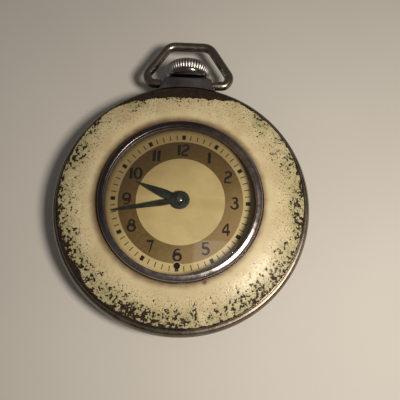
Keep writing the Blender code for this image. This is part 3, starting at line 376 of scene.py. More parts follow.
# --------------------------------------------------- materials
class Shader:
    """Builds a node material on a Principled shader; sizes in its textures are millimetres."""

    def __init__(self, name, metallic=0.0):
        self.material = bpy.data.materials.new(name)
        self.material.use_nodes = True
        self.tree = self.material.node_tree
        self.shader = self.tree.nodes["Principled BSDF"]
        self.set("Metallic", metallic)
        place = self.node("ShaderNodeTexCoord").outputs["Object"]
        self.place = self.vector("SCALE", {0: place, "Scale": 1 / MM})
        parts = self.node("ShaderNodeSeparateXYZ", None, {0: self.place}).outputs
        self.x, self.y, self.z = parts["X"], parts["Y"], parts["Z"]

    def feed(self, socket, value):
        if isinstance(value, bpy.types.NodeSocket):
            self.tree.links.new(value, socket)
        elif socket.type == "RGBA":
            socket.default_value = (*value, 1.0)
        else:
            socket.default_value = value

    def set(self, key, value):
        self.feed(self.shader.inputs[key], value)

    def node(self, kind, output=None, inputs=None, **settings):
        made = self.tree.nodes.new(kind)
        for key, value in settings.items():
            setattr(made, key, value)
        for key, value in (inputs or {}).items():
            self.feed(made.inputs[key], value)
        return made if output is None else made.outputs[output]

    def vector(self, operation, inputs):
        return self.node("ShaderNodeVectorMath", "Vector", inputs, operation=operation)

    def math(self, operation, a, b=0.0):
        return self.node("ShaderNodeMath", 0, {0: a, 1: b}, operation=operation)

    def plus(self, a, b):
        return self.math("ADD", a, b)

    def minus(self, a, b):
        return self.math("SUBTRACT", a, b)

    def times(self, a, b):
        return self.math("MULTIPLY", a, b)

    def noise(self, size, detail=4.0, roughness=0.55, distortion=0.0, place=None):
        inputs = {"Vector": place or self.place, "Scale": 1 / size, "Detail": detail, "Roughness": roughness,
                  "Distortion": distortion}
        return self.node("ShaderNodeTexNoise", "Fac", inputs)

    def bands(self, along, detail):
        """Noise that changes along one value only."""
        inputs = {"W": along, "Scale": 1.0, "Detail": detail}
        return self.node("ShaderNodeTexNoise", "Fac", inputs, noise_dimensions="1D")

    def cells(self, size):
        return self.node("ShaderNodeTexVoronoi", "Distance", {"Vector": self.place, "Scale": 1 / size})

    def stretched(self, x, y, z):
        return self.vector("MULTIPLY", {0: self.place, 1: (x, y, z)})

    def between(self, value, a, b, low=0.0, high=1.0):
        inputs = {"Value": value, "From Min": a, "From Max": b, "To Min": low, "To Max": high}
        return self.node("ShaderNodeMapRange", 0, inputs, interpolation_type="SMOOTHSTEP")

    def patchy(self, noise, a, b, low=0.0, high=1.0):
        """Runs from low to high where noise of some size, detail and roughness goes from a to b."""
        return self.between(self.noise(*noise), a, b, low, high)

    def blend(self, factor, a, b):
        return self.node("ShaderNodeMix", 2, {"Factor": factor, 6: a, 7: b}, data_type="RGBA")

    def radius(self, x=0.0, y=0.0):
        dx, dy = self.minus(self.x, x), self.minus(self.y, y)
        return self.math("SQRT", self.plus(self.times(dx, dx), self.times(dy, dy)))

    def towards(self, x, y):
        """How far a point lies in the direction (x, y)."""
        return self.plus(self.times(self.x, x), self.times(self.y, y))

    def bump(self, height, distance, strength=1.0):
        """distance is the relief in millimetres for a height of one."""
        inputs = {"Height": height, "Distance": distance * MM, "Strength": strength}
        self.set("Normal", self.node("ShaderNodeBump", "Normal", inputs))


def worn_metal(name, dark, light, smooth, rough, relief=0.004, tarnish=None, pitting=0.75):
    """Handled metal: uneven tarnish, fine scratches and small pits."""
    s = Shader(name, metallic=1.0)
    cloud, fine = s.noise(3.0, 5.0, 0.6), s.noise(0.35, 4.0, 0.65)
    colour = s.blend(s.between(cloud, 0.32, 0.68), dark, light)
    if tarnish is not None:
        colour = s.blend(s.times(s.patchy((1.3, 5.0, 0.7, 0.6), 0.52, 0.72), 0.6), colour, tarnish)
    pits = s.between(s.cells(0.55), 0.10, 0.0)
    dirt = s.times(pits, s.patchy((1.7,), 0.5, 0.65, 0.0, pitting))
    s.set("Base Color", s.blend(dirt, colour, tuple(0.25 * part for part in dark)))
    scratches = s.between(s.noise(0.05, 2.0, 0.5, 0.0, s.stretched(1.0, 0.12, 1.0)), 0.56, 0.74)
    uneven = s.plus(s.times(cloud, 0.5), s.times(fine, 0.5))
    s.set("Roughness", s.plus(s.between(uneven, 0.35, 0.65, smooth, rough), s.times(scratches, 0.10)))
    s.bump(s.minus(s.times(fine, 0.6), s.plus(s.times(scratches, 0.5), pits)), relief)
    return s.material


def turned_metal(name, middle, dark, light, smooth, rough, tarnish):
    """Metal with the fine circular grain that a lathe leaves about one centre."""
    s = Shader(name, metallic=1.0)
    rings = s.bands(s.math("DIVIDE", s.radius(*middle), 0.06), 3.0)
    cloud = s.noise(1.8, 4.0, 0.6)
    colour = s.blend(s.between(s.plus(s.times(rings, 0.45), s.times(cloud, 0.55)), 0.38, 0.62), dark, light)
    s.set("Base Color", s.blend(s.patchy((0.9, 5.0, 0.7), 0.60, 0.78, 0.0, 0.55), colour, tarnish))
    uneven = s.plus(s.times(rings, 0.5), s.times(cloud, 0.5))
    s.set("Roughness", s.between(uneven, 0.35, 0.65, smooth, rough))
    s.bump(rings, 0.002)
    return s.material


def enamel_material():
    """Cream enamel over dark metal, from the bezel's chip and worn attributes."""
    s = Shader("enamel_chipped")
    chip, worn = (s.node("ShaderNodeAttribute", "Fac", attribute_name=name) for name in ("chip", "worn"))
    crisp = s.plus(chip, s.times(s.minus(s.noise(0.12, 3.0, 0.65), 0.5), 0.14))
    bare = s.between(crisp, -0.010, 0.010)
    thin = s.between(crisp, -0.14, 0.0)
    radius = s.radius()

    cream = s.blend(s.patchy((4.0, 4.0, 0.55), 0.35, 0.65), (0.565, 0.476, 0.280), (0.660, 0.576, 0.362))
    cream = s.blend(s.patchy((0.5, 5.0, 0.7), 0.35, 0.75, 0.0, 0.35), cream, (0.50, 0.405, 0.235))
    cream = s.blend(s.patchy((2.2, 3.0, 0.5), 0.54, 0.68, 0.0, 0.22), cream, (0.56, 0.36, 0.22))
    stained = s.patchy((0.7, 5.0, 0.7, 0.3), 0.42, 0.66)
    green = s.times(s.between(worn, 0.0, 0.7), s.plus(s.times(stained, 0.50), 0.30))
    cream = s.blend(green, cream, (0.30, 0.305, 0.145))
    cream = s.blend(s.times(thin, s.between(worn, 0.05, 0.8, 0.15, 0.60)), cream, (0.16, 0.135, 0.06))
    near_rim = s.between(s.plus(radius, s.times(s.noise(2.0), 3.0)), 18.2, 21.8, 0.04, 0.90)
    flecks = s.times(s.patchy((0.30, 3.0, 0.75), 0.565, 0.605), near_rim)
    cream = s.blend(flecks, cream, (0.10, 0.08, 0.035))

    # brown dirt round the ring, widened towards the upper left by a painted shadow of the ring
    lean = s.math("DIVIDE", s.towards(-0.87, 0.5), radius)
    edge = s.minus(s.plus(radius, s.times(s.noise(1.6), 0.7)), s.times(lean, 0.32))
    cream = s.blend(s.times(s.between(edge, 17.75, 16.2), 0.90), cream, (0.125, 0.070, 0.028))
    spot = s.plus(s.radius(*clock(161.0, 16.25)), s.times(s.noise(0.5), 0.5))
    cream = s.blend(s.between(spot, 0.95, 0.35, 0.0, 0.9), cream, (0.13, 0.025, 0.012))

    metal = s.blend(s.patchy((0.6, 5.0, 0.7), 0.35, 0.7), (0.010, 0.005, 0.002), (0.040, 0.020, 0.008))
    s.set("Base Color", s.blend(bare, cream, metal))
    s.set("Roughness", s.plus(s.patchy((0.8, 4.0, 0.6), 0.3, 0.7, 0.32, 0.46), s.times(bare, 0.30)))
    s.set("Specular IOR Level", 0.35)
    s.set("Coat Weight", 0.10)
    s.set("Coat Roughness", 0.25)
    grain = s.times(s.noise(0.16, 4.0, 0.6), s.between(worn, 0.0, 1.0, 0.2, 1.0))
    s.bump(s.minus(s.times(grain, 0.45), bare), 0.03, 0.7)
    return s.material


def ring_material():
    """Pitted chrome, with painted shade towards the upper left."""
    s = Shader("ring_chrome_pitted", metallic=1.0)
    cloud = s.noise(1.4, 5.0, 0.6)
    colour = s.blend(s.between(cloud, 0.34, 0.66), (0.33, 0.290, 0.286), (0.47, 0.425, 0.43))
    # painted shade: the chrome darker towards the upper left, away from the lamp
    lean = s.plus(s.towards(0.72, -0.69), s.times(s.noise(2.5), 3.0))
    colour = s.blend(s.between(lean, 5.0, -8.0, 0.0, 0.85), colour, (0.078, 0.065, 0.066))
    colour = s.blend(s.patchy((2.6, 3.0, 0.5), 0.54, 0.72, 0.0, 0.4), colour, (0.22, 0.17, 0.28))
    lower = s.between(s.y, -2.0, -11.0)
    clusters = s.times(lower, s.patchy((1.9, 3.0, 0.6), 0.42, 0.58))
    pitted = s.times(s.between(s.cells(0.42), 0.13, 0.03), clusters)
    colour = s.blend(pitted, colour, (0.03, 0.020, 0.014))
    rust = s.times(s.patchy((0.7, 4.0, 0.7), 0.60, 0.74), 0.5)
    s.set("Base Color", s.blend(rust, colour, (0.12, 0.045, 0.022)))
    inside = s.between(s.radius(), BORE_R + 0.12, BORE_R + 0.02)
    dull = s.times(s.math("MAXIMUM", pitted, inside), 0.25)
    s.set("Roughness", s.plus(s.between(cloud, 0.3, 0.7, 0.20, 0.29), dull))
    s.bump(s.minus(s.times(s.noise(0.4, 3.0, 0.5), 0.20), pitted), 0.012)
    return s.material


def crown_material():
    """Chrome, darker in the flute valleys, with painted shade on the smooth shoulder."""
    s = Shader("crown_chrome", metallic=1.0)
    turn = s.math("ARCTAN2", s.x, s.minus(s.z, STEM_Z))
    ridge = s.math("ABSOLUTE", s.math("SINE", s.times(turn, FLUTES / 2)))
    fluted = s.times(s.between(s.y, FLUTES_LOW, FLUTES_LOW + 0.15),
                     s.between(s.y, FLUTES_HIGH, FLUTES_HIGH - 0.3))
    valley = s.times(s.between(s.plus(ridge, s.times(s.noise(0.5), 0.2)), 0.62, 0.25), fluted)
    colour = s.blend(s.patchy((1.2, 4.0, 0.6), 0.35, 0.65), (0.42, 0.40, 0.395), (0.62, 0.60, 0.60))
    # painted shade: the smooth shoulder darker than the rest of the chrome
    shoulder = s.between(s.y, FLUTES_LOW + 0.12, FLUTES_LOW - 0.02, 0.0, 0.8)
    colour = s.blend(shoulder, colour, (0.17, 0.16, 0.165))
    s.set("Base Color", s.blend(s.times(valley, 0.93), colour, (0.022, 0.017, 0.013)))
    dull = s.times(s.plus(fluted, valley), 0.13)
    s.set("Roughness", s.plus(s.patchy((0.5, 3.0, 0.5), 0.3, 0.7, 0.14, 0.20), dull))
    s.bump(s.noise(0.4, 3.0, 0.5), 0.002)
    return s.material


def toned(s, colour, dark, most):
    """Painted shade, which deepens towards the upper left of the dial and towards its edge."""
    lean = s.plus(s.towards(-0.5, 0.85), s.times(s.radius(), 0.9))
    depth = s.plus(lean, s.times(s.noise(4.0, 3.0, 0.5), 4.0))
    return s.blend(s.between(depth, 4.0, 25.0, 0.0, most), colour, dark)


def dial_material():
    s = Shader("dial_cream_paint")
    base = s.blend(s.patchy((5.0, 3.0, 0.5), 0.35, 0.65), (0.505, 0.405, 0.190), (0.585, 0.475, 0.230))
    base = s.blend(s.patchy((0.45, 4.0, 0.7), 0.45, 0.75, 0.0, 0.30), base, (0.44, 0.335, 0.145))
    dots = s.times(s.between(s.cells(0.9), 0.07, 0.03), s.patchy((1.7,), 0.56, 0.66, 0.0, 0.6))
    base = s.blend(dots, base, (0.16, 0.11, 0.05))
    # painted shade: the dial darker towards the upper left and towards its edge
    base = toned(s, base, (0.17, 0.115, 0.040), 0.75)
    # painted shade of the crystal ring along the dial's outer edge
    painted_ring_shade = s.between(s.plus(s.radius(), s.times(s.noise(1.0), 0.5)), 13.9, 14.9, 0.0, 0.75)
    s.set("Base Color", s.blend(painted_ring_shade, base, (0.08, 0.055, 0.022)))
    s.set("Roughness", s.patchy((0.6, 4.0, 0.6), 0.3, 0.7, 0.42, 0.55))
    s.bump(s.noise(0.10, 4.0, 0.65), 0.004)
    return s.material


def print_material(name, dark, light, thin, painted_light=0.0):
    """Printed ink with slightly uneven cover, and painted light that can make it paler towards the lower
    right.
    """
    s = Shader(name)
    colour = s.blend(s.patchy((0.9, 4.0, 0.6), 0.35, 0.65), dark, light)
    # painted light: the ink paler towards the lower right, towards the lamp
    if painted_light > 0:
        lean = s.plus(s.towards(0.7, -0.7), s.times(s.noise(3.0), 3.0))
        colour = s.blend(s.between(lean, 3.0, 13.0, 0.0, painted_light), colour, thin)
    colour = s.blend(s.patchy((0.12, 3.0, 0.6), 0.52, 0.75, 0.0, 0.45), colour, thin)
    # the ink lies under the same painted shade as the dial
    s.set("Base Color", toned(s, colour, tuple(0.3 * part for part in dark), 0.8))
    s.set("Specular IOR Level", 0.2)
    s.set("Roughness", s.patchy((0.5, 4.0, 0.6), 0.3, 0.7, 0.40, 0.55))
    s.bump(s.noise(0.08, 3.0, 0.6), 0.002)
    return s.material


def hand_material():
    s = Shader("hand_green_black")
    colour = s.blend(s.patchy((1.2, 4.0, 0.6), 0.35, 0.65), (0.006, 0.008, 0.005), (0.016, 0.023, 0.014))
    flaked = s.times(s.between(s.cells(0.5), 0.08, 0.04), s.patchy((1.1,), 0.55, 0.65))
    s.set("Base Color", s.blend(flaked, colour, (0.09, 0.075, 0.04)))
    s.set("Roughness", s.patchy((0.4, 4.0, 0.6), 0.3, 0.7, 0.28, 0.42))
    s.bump(s.noise(0.2, 4.0, 0.6), 0.004)
    return s.material


def crystal_material():
    """Clear acrylic with a few fine scratches."""
    s = Shader("crystal_clear")
    s.set("Transmission Weight", 1.0)
    s.set("IOR", 1.46)
    s.set("Base Color", (0.985, 0.975, 0.93))
    scratches = s.between(s.noise(0.5, 2.0, 0.5, 0.0, s.stretched(0.15, 1.0, 1.0)), 0.60, 0.66)
    s.set("Roughness", s.times(scratches, 0.05))
    return s.material


def plate_material():
    """Nickelled movement plate with overlapping polished spots."""
    s = Shader("plate_nickel_spotted", metallic=1.0)
    spots = s.cells(1.5)
    rings = s.bands(s.times(spots, 26.0), 2.0)
    uneven = s.plus(s.times(rings, 0.4), s.times(s.noise(4.0, 4.0, 0.6), 0.6))
    s.set("Base Color", s.blend(s.between(uneven, 0.38, 0.62), (0.46, 0.44, 0.39), (0.64, 0.62, 0.57)))
    s.set("Roughness", s.between(rings, 0.3, 0.7, 0.20, 0.36))
    s.bump(s.plus(s.times(rings, 0.5), spots), 0.006)
    return s.material


def floor_material():
    s = Shader("studio_floor")
    cloud = s.patchy((60.0, 3.0, 0.5), 0.35, 0.65)
    s.set("Base Color", s.blend(cloud, (0.60, 0.585, 0.56), (0.63, 0.615, 0.59)))
    s.set("Roughness", 0.75)
    return s.material


def give(made, body, material, slot, *replaced):
    """Materials, body and replaced CAD nodes of a new piece; slot is not used."""
    made.data.materials.clear()
    made.data.materials.append(material)
    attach(made, body)
    if replaced:
        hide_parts(*replaced)
    return made


# ---------------------------------------------------- the case
def band_radius(level):
    middle, half = (BAND_LOW + BAND_HIGH) / 2, (BAND_HIGH - BAND_LOW) / 2
    return CASE_R - BAND_EDGE_DROP * ((level - middle) / half) ** 2


def make_back(metal):
    outer_steps, inner_steps, flat_steps = 32, 12, 14
    outer, inner = [], []
    for step in range(outer_steps + 1):
        turn = math.pi / 2 * step / outer_steps
        outer.append((BACK_FLAT_R + (BACK_R - BACK_FLAT_R) * math.sin(turn),
                      BACK_EDGE_Z - BACK_EDGE_Z * math.cos(turn), 0.0))
    for step in range(inner_steps + 1):
        turn = math.pi / 2 * (1 - step / inner_steps)
        inner.append((BACK_FLAT_R + 9.5 * math.sin(turn), BACK_EDGE_Z - 3.0 * math.cos(turn), 0.0))
    flat = [(BACK_FLAT_R * i / flat_steps, 0.0, 0.0) for i in range(flat_steps)]
    lip = [(24.05, BACK_EDGE_Z, 0.0), (24.05, 4.55, 0.12), (23.5, 4.55, 0.12)]
    within = [(BACK_FLAT_R * (1 - i / 7), 0.6, 0.0) for i in range(1, 8)]
    shell = lathe("back_shell", rounded(flat + outer + lip + inner + within))
    give(shell, "back_cover", metal, "case_metal", "case_back")


def make_band(metal):
    steps, ledge_low, ledge_high, seat_r = 18, 4.7, 5.3, 20.2
    outside = []
    for step in range(steps + 1):
        level = BAND_LOW + (BAND_HIGH - BAND_LOW) * step / steps
        outside.append((band_radius(level), level, 0.3 if step in (0, steps) else 0.0))
    inside = [(23.65, BAND_HIGH, 0.08), (23.65, ledge_high, 0.0), (seat_r, ledge_high, 0.08),
              (seat_r, ledge_low, 0.08), (24.15, ledge_low, 0.0), (24.15, BAND_LOW, 0.05)]
    band = lathe("case_band", rounded(outside + inside))
    cut(band, lathe("cutter_stem", rod(0.75, 23.0, 26.5), 48, along_stem))
    for angle in (75.0, 255.0):
        cut(band, lathe("cutter_screw", rod(0.45, 4.0, 6.0), 32, upright_at(*clock(angle, 21.6))))
    give(band, "case", metal, "case_metal", "case_middle")


def neck_section(level, half_width, half_height):
    """A rounded rectangle across the stem."""
    corner = 0.95 - (NECK_HALF_HEIGHT - half_height)
    points = []
    for sx, sy, first in ((1, 1, 0), (-1, 1, 90), (-1, -1, 180), (1, -1, 270)):
        x, y = sx * (half_width - corner), sy * (half_height - corner)
        points += arc(x, y, corner, corner, first, first + 90, 9)
    return [along_stem(x, y, level) for x, y in points]


def make_neck(metal):
    """The neck's sections along the stem, less the band, the stem's bore and the bow's two pins."""
    sections = [(23.6, 6.1, 0.0), (23.9, 6.02, 0.0), (24.2, 5.92, 0.0), (24.5, 5.79, 0.0),
                (24.8, 5.62, 0.0), (25.1, 5.45, 0.0), (25.4, 5.32, 0.0), (25.7, 5.24, 0.0),
                (26.2, 5.14, 0.0), (26.42, 5.10, 0.0), (26.52, 5.07, 0.03), (26.61, 5.0, 0.10),
                (26.67, 4.91, 0.19), (NECK_END, 4.8, 0.30)]
    rows = [neck_section(y, half, NECK_HALF_HEIGHT - drop) for y, half, drop in sections]
    neck = add_object("neck_body", sum(rows, []), skin(len(rows), len(rows[0])))
    gap, steps = 0.06, 12
    levels = [BAND_LOW + (BAND_HIGH - BAND_LOW) * i / steps for i in range(steps + 1)]
    body = [(0.0, 2.5), (band_radius(BAND_LOW) - 0.6, 2.5)]
    body += [(band_radius(level) + gap, level) for level in levels]
    body += [(RIM_R + 0.12, BAND_HIGH + 0.1), (RIM_R + 0.12, 9.5), (0.0, 9.5)]
    cut(neck, lathe("cutter_band", body))
    cut(neck, lathe("cutter_bore", rod(1.5, 22.0, 28.0), 64, along_stem))
    for side in (-1, 1):
        cut(neck, lathe("cutter_pin", rod(0.85, 4.25, 7.0), 40,
                        lambda x, y, level, side=side: (side * level, BOW_Y + x, STEM_Z + y * side)))
    give(neck, "case", metal, "case_metal", "pendant_neck")


def make_bow(metal):
    corners = [(5.8, 26.1), (8.0, 26.15), (8.95, 28.0), (4.35, 35.15), (-4.35, 35.15)]
    half = [(4.6, 26.1), (5.72, 26.1), (5.76, 26.1), (5.95, 26.1)]
    radii = [BOW_PIN, BOW_PIN, BOW_WIRE, BOW_WIRE]
    for index, reach in ((1, 0.9), (2, 1.0), (3, 1.5)):
        before, here, after = (Vector(corners[index + k]) for k in (-1, 0, 1))
        start = here + (before - here).normalized() * reach
        end = here + (after - here).normalized() * reach
        half += bend(start, here, end, 12)
    radii += [BOW_WIRE] * (len(half) - len(radii))
    path = [(-x, y, STEM_Z) for x, y in half] + [(x, y, STEM_Z) for x, y in half[::-1]]
    give(tube("bow_wire", path, radii + radii[::-1], 40), "bow", metal, "bow_metal", "bow")


def make_crown(metal):
    socket = [(0.0, 29.5), (0.7, 29.5), (0.7, CROWN_LOW)]
    shoulder = [(3.2, CROWN_LOW), (3.6, 27.04), (3.85, 27.13), (4.02, 27.25), (4.14, 27.39), (4.22, 27.53),
                (4.27, 27.68), (4.29, FLUTES_LOW)]
    side = [(4.33, 27.93), (4.42, 28.1), (4.53, 28.3), (4.64, 28.5), (4.73, 28.7), (4.80, 28.9), (4.84, 29.1),
            (CROWN_R, 29.3), (4.81, 29.5), (4.71, 29.7), (4.52, 29.88), (4.25, 30.05), (3.85, FLUTES_HIGH)]
    end = [(3.3, 30.35), (2.6, 30.54), (1.9, 30.77), (1.0, 30.94), (0.0, CROWN_HIGH)]

    def fluted(radius, level, turn):
        if radius < 3.0:
            return radius
        rising = float(ease(level, FLUTES_LOW, FLUTES_LOW + 0.25))
        falling = float(1 - ease(level, FLUTES_HIGH - 0.4, FLUTES_HIGH))
        return radius - FLUTE_DEPTH * rising * falling * (1 - abs(math.sin(turn * FLUTES / 2)))

    crown = lathe("crown_body", socket + shoulder + side + end, FLUTES * 12, along_stem, fluted)
    give(crown, "crown", metal, "crown_chrome", "crown")


# --------------------------------------------------- the bezel
def arch(radius):
    fall = (radius - HOLE_R) / (PAINT_R - HOLE_R)
    return PAINT_TOP_Z - (PAINT_TOP_Z - PAINT_EDGE_Z) * fall ** 2


def make_bezel(enamel, metal):
    """The enamelled dome with its chips, and the bare rim and inside in a second material."""
    inner_rows, outer_rows, segments, relief, under_r = 16, 46, 1080, 0.07, 23.0
    rim = rounded([(23.55, RIM_LOW, 0.0), (RIM_R, RIM_LOW, 0.06), (RIM_R, 8.06, 0.12), (24.12, 8.31, 0.1),
                   (23.9, 8.28, 0.03), (PAINT_R, 8.42, 0.0)])[1:]
    radii = [PAINT_R + (WORN_R - PAINT_R) * i / outer_rows for i in range(outer_rows)]
    radii += [WORN_R + (HOLE_R - WORN_R) * i / inner_rows for i in range(inner_rows + 1)]
    paint = [(r, arch(r)) for r in radii]
    inside = [HOLE_R + (under_r - HOLE_R) * i / 8 for i in range(9)]
    under = [(r, arch(r) - 0.5) for r in inside]
    lip = [(under_r, 6.65), (23.05, 6.6), (23.5, 6.6), (23.55, 6.65), (23.55, RIM_LOW)]
    profile = rim + paint + under + lip
    first = len(rim)

    def chipped(verts):
        rows = verts.reshape(len(profile), segments, 3)
        top = rows[first:first + len(paint)]
        chip, _ = enamel_wear(top[..., 0], top[..., 1])
        fade = np.ones(len(paint))
        fade[-2:] = 0.0
        top[..., 2] -= relief * ease(chip, -0.05, 0.05) * fade[:, None]
        return rows.reshape(-1, 3)

    bezel = lathe("bezel_enamelled", profile, segments, move=chipped)
    place = np.array([v.co for v in bezel.data.vertices]) / MM
    chip, worn = enamel_wear(place[:, 0], place[:, 1])
    for name, values in (("chip", chip), ("worn", worn)):
        layer = bezel.data.attributes.new(name, "FLOAT", "POINT")
        layer.data.foreach_set("value", values.astype(np.float32))
    give(bezel, "bezel_cover", enamel, "cream_enamel", "bezel")
    bezel.data.materials.append(metal)
    for face in bezel.data.polygons:
        middle = face.center / MM
        radius = math.hypot(middle.x, middle.y)
        if radius > PAINT_R or middle.z < arch(radius) - 0.2:
            face.material_index = 1


def make_crystal_ring(metal):
    face = [(BORE_R, 10.9), (14.365, 11.12), (14.39, 11.22), (14.44, 11.285), (14.52, 11.318),
            (14.62, 11.325), (14.72, 11.314), (14.85, 11.288), (15.0, 11.252), (15.15, 11.208),
            (15.29, 11.155), (15.41, 11.085), (15.51, 10.99), (15.59, 10.85), (15.655, 10.65), (15.69, 10.4),
            (RING_R, 10.1)]
    foot = [(BORE_R, 8.75, 0.05), (17.2, 8.75, 0.05), (17.2, 9.1, 0.05), (RING_R, 9.1, 0.05)]
    groove = [(BORE_R, 10.78, 0.0), (14.8, 10.78, 0.0), (14.8, 10.0, 0.0), (BORE_R, 10.0, 0.08)]
    ring = lathe("crystal_ring_chrome", rounded(foot + [(r, z, 0.0) for r, z in face[::-1]] + groove), 360)
    give(ring, "bezel_cover", metal, "ring_chrome", "crystal_ring")


def make_crystal(glass):
    """A domed crystal that casts no shadow, so that as much light reaches the dial as in the photo."""
    edge, steps = 14.2, 28
    under = [(edge * i / steps, 11.15 - (i / steps) ** 2) for i in range(steps + 1)]
    over = [(edge * i / steps, CRYSTAL_TOP - 1.1 * (i / steps) ** 2) for i in range(steps, -1, -1)]
    flange = [(14.66, 10.12), (14.7, 10.16), (14.7, 10.58), (14.66, 10.62)]
    crystal = lathe("crystal_dome", under + flange + over, 256)
    crystal.visible_shadow = False
    crystal.visible_diffuse = False
    crystal.visible_glossy = False
    give(crystal, "bezel_cover", glass, "crystal_clear", "crystal")


# ---------------------------------------------------- the dial
def keyhole():
    lean = math.degrees(math.asin(SLOT_HALF / KEYHOLE_R))
    around = arc(0.0, KEYHOLE_Y, KEYHOLE_R, KEYHOLE_R, lean - 90.0, 270.0 - lean, 40)
    return around + [(-SLOT_HALF, SLOT_END), (SLOT_HALF, SLOT_END)]


def spread(widths, count):
    """One width for each of some points, from one width or from as many."""
    return list(widths) if isinstance(widths, (list, tuple)) else [widths] * count


def stroke(points, widths):
    """Outline of a pen stroke through points; widths is one width or one for each point."""
    left, right = [], []
    for i, (point, width) in enumerate(zip(points, spread(widths, len(points)))):
        before, after = Vector(points[max(i - 1, 0)]), Vector(points[min(i + 1, len(points) - 1)])
        along = (after - before).normalized()
        across = Vector((-along.y, along.x)) * (width + INK_SPREAD) / 2
        left.append(tuple(Vector(point) + across))
        right.append(tuple(Vector(point) - across))
    return left + right[::-1]


def swell(thin, thick, where, reach):
    """Widths along an arc's stroke that swells about one place, from 0 to 1."""
    return [thin + (thick - thin) * math.exp(-((i / 18 - where) / reach) ** 2) for i in range(19)]


THIN, HEAVY, HALF = 0.20, 0.54, 1.12        # stroke widths and half the height of the figures
FIGURE_SCALE, FIGURE_GAP = (1.14, 1.05), 0.30
INK_SPREAD = 0.14                           # how much wider than drawn each stroke has printed


def ring_strokes(x, y, rx, ry, widths):
    """A whole oval, drawn as two strokes."""
    points = arc(x, y, rx, ry, 90, 450, 36)
    widths = spread(widths, len(points))
    return [stroke(points[:19], widths[:19]), stroke(points[18:], widths[18:])]


def digit(figure):
    """(outlines, half width) of one figure, centred on the origin."""
    if figure == "1":
        half = HEAVY / 2
        return [[(-half, -HALF), (half, -HALF), (half, HALF), (-half, HALF - 0.22)]], half
    if figure == "0":
        widths = [THIN + 0.13 * abs(math.sin(math.radians(i * 10))) for i in range(37)]
        return ring_strokes(0.0, 0.0, 0.56, HALF - 0.09, widths), 0.66
    if figure == "2":
        top = arc(-0.02, 0.52, 0.50, 0.50, 160, -48)
        middle = stroke([top[-1], (0.05, -0.02), (-0.28, -0.20), (-0.46, -0.42)], [0.26, 0.34, 0.30, 0.18])
        stem = stroke([(-0.48, -0.36), (-0.52, -0.72), (-0.52, -HALF + 0.02)], [0.18, 0.15, 0.15])
        foot = stroke([(-0.59, -HALF + 0.08), (0.52, -HALF + 0.08)], THIN + 0.01)
        return [stroke(top, swell(THIN, THIN + 0.10, 0.85, 0.3)), middle, stem, foot], 0.58
    if figure == "3":
        top = stroke(arc(0.0, 0.60, 0.42, 0.43, 150, -60), swell(THIN, THIN + 0.06, 0.6, 0.3))
        middle = stroke([(-0.12, 0.13), (0.30, 0.13)], 0.34)
        bowl = stroke(arc(-0.02, -0.45, 0.56, 0.58, 62, -170), swell(THIN, 0.30, 0.25, 0.30))
        return [top, middle, bowl], 0.60
    if figure == "4":
        slope = stroke([(0.20, HALF), (-0.05, 0.78), (-0.36, 0.30), (-0.62, -0.30)], [0.12, 0.15, 0.15, 0.15])
        bar = stroke([(-0.70, -0.42), (0.62, -0.42)], 0.30)
        return [slope, bar, stroke([(0.22, HALF), (0.22, -HALF)], 0.16)], 0.68
    if figure == "5":
        top = stroke([(-0.50, HALF - 0.09), (0.48, HALF - 0.09)], 0.17)
        stem = stroke([(-0.42, HALF - 0.05), (-0.42, 0.12)], [0.16, 0.24])
        bowl = stroke(arc(-0.02, -0.42, 0.56, 0.60, 138, -150), swell(THIN, 0.40, 0.22, 0.26))
        return [top, stem, bowl], 0.60
    if figure in "69":
        widths = [THIN + 0.03 + 0.26 * math.exp(-(min(i, 36 - i) / 6.0) ** 2) for i in range(37)]
        rise = [(-0.56, -0.35), (-0.57, 0.10), (-0.50, 0.52), (-0.30, 0.86), (0.02, HALF - 0.09),
                (0.36, 0.93)]
        shapes = ring_strokes(0.0, -0.42, 0.58, 0.60, widths)
        shapes.append(stroke(rise, [0.26, 0.25, 0.20, 0.16, 0.15, 0.13]))
        if figure == "9":
            shapes = [[(-x, -y) for x, y in shape] for shape in shapes]
        return shapes, 0.64
    if figure == "7":
        bar = stroke([(-0.60, HALF - 0.15), (0.56, HALF - 0.15)], 0.30)
        leg = [(0.58, HALF - 0.02), (0.18, HALF - 0.3), (-0.16, -HALF), (0.02, -HALF)]
        return [bar, leg], 0.60
    widths = [THIN + 0.04 + 0.22 * math.exp(-(min(i, 36 - i) / 6.5) ** 2) for i in range(37)]
    return ring_strokes(0.0, -0.42, 0.60, 0.60, widths) + ring_strokes(0.0, 0.60, 0.42, 0.42, THIN), 0.66


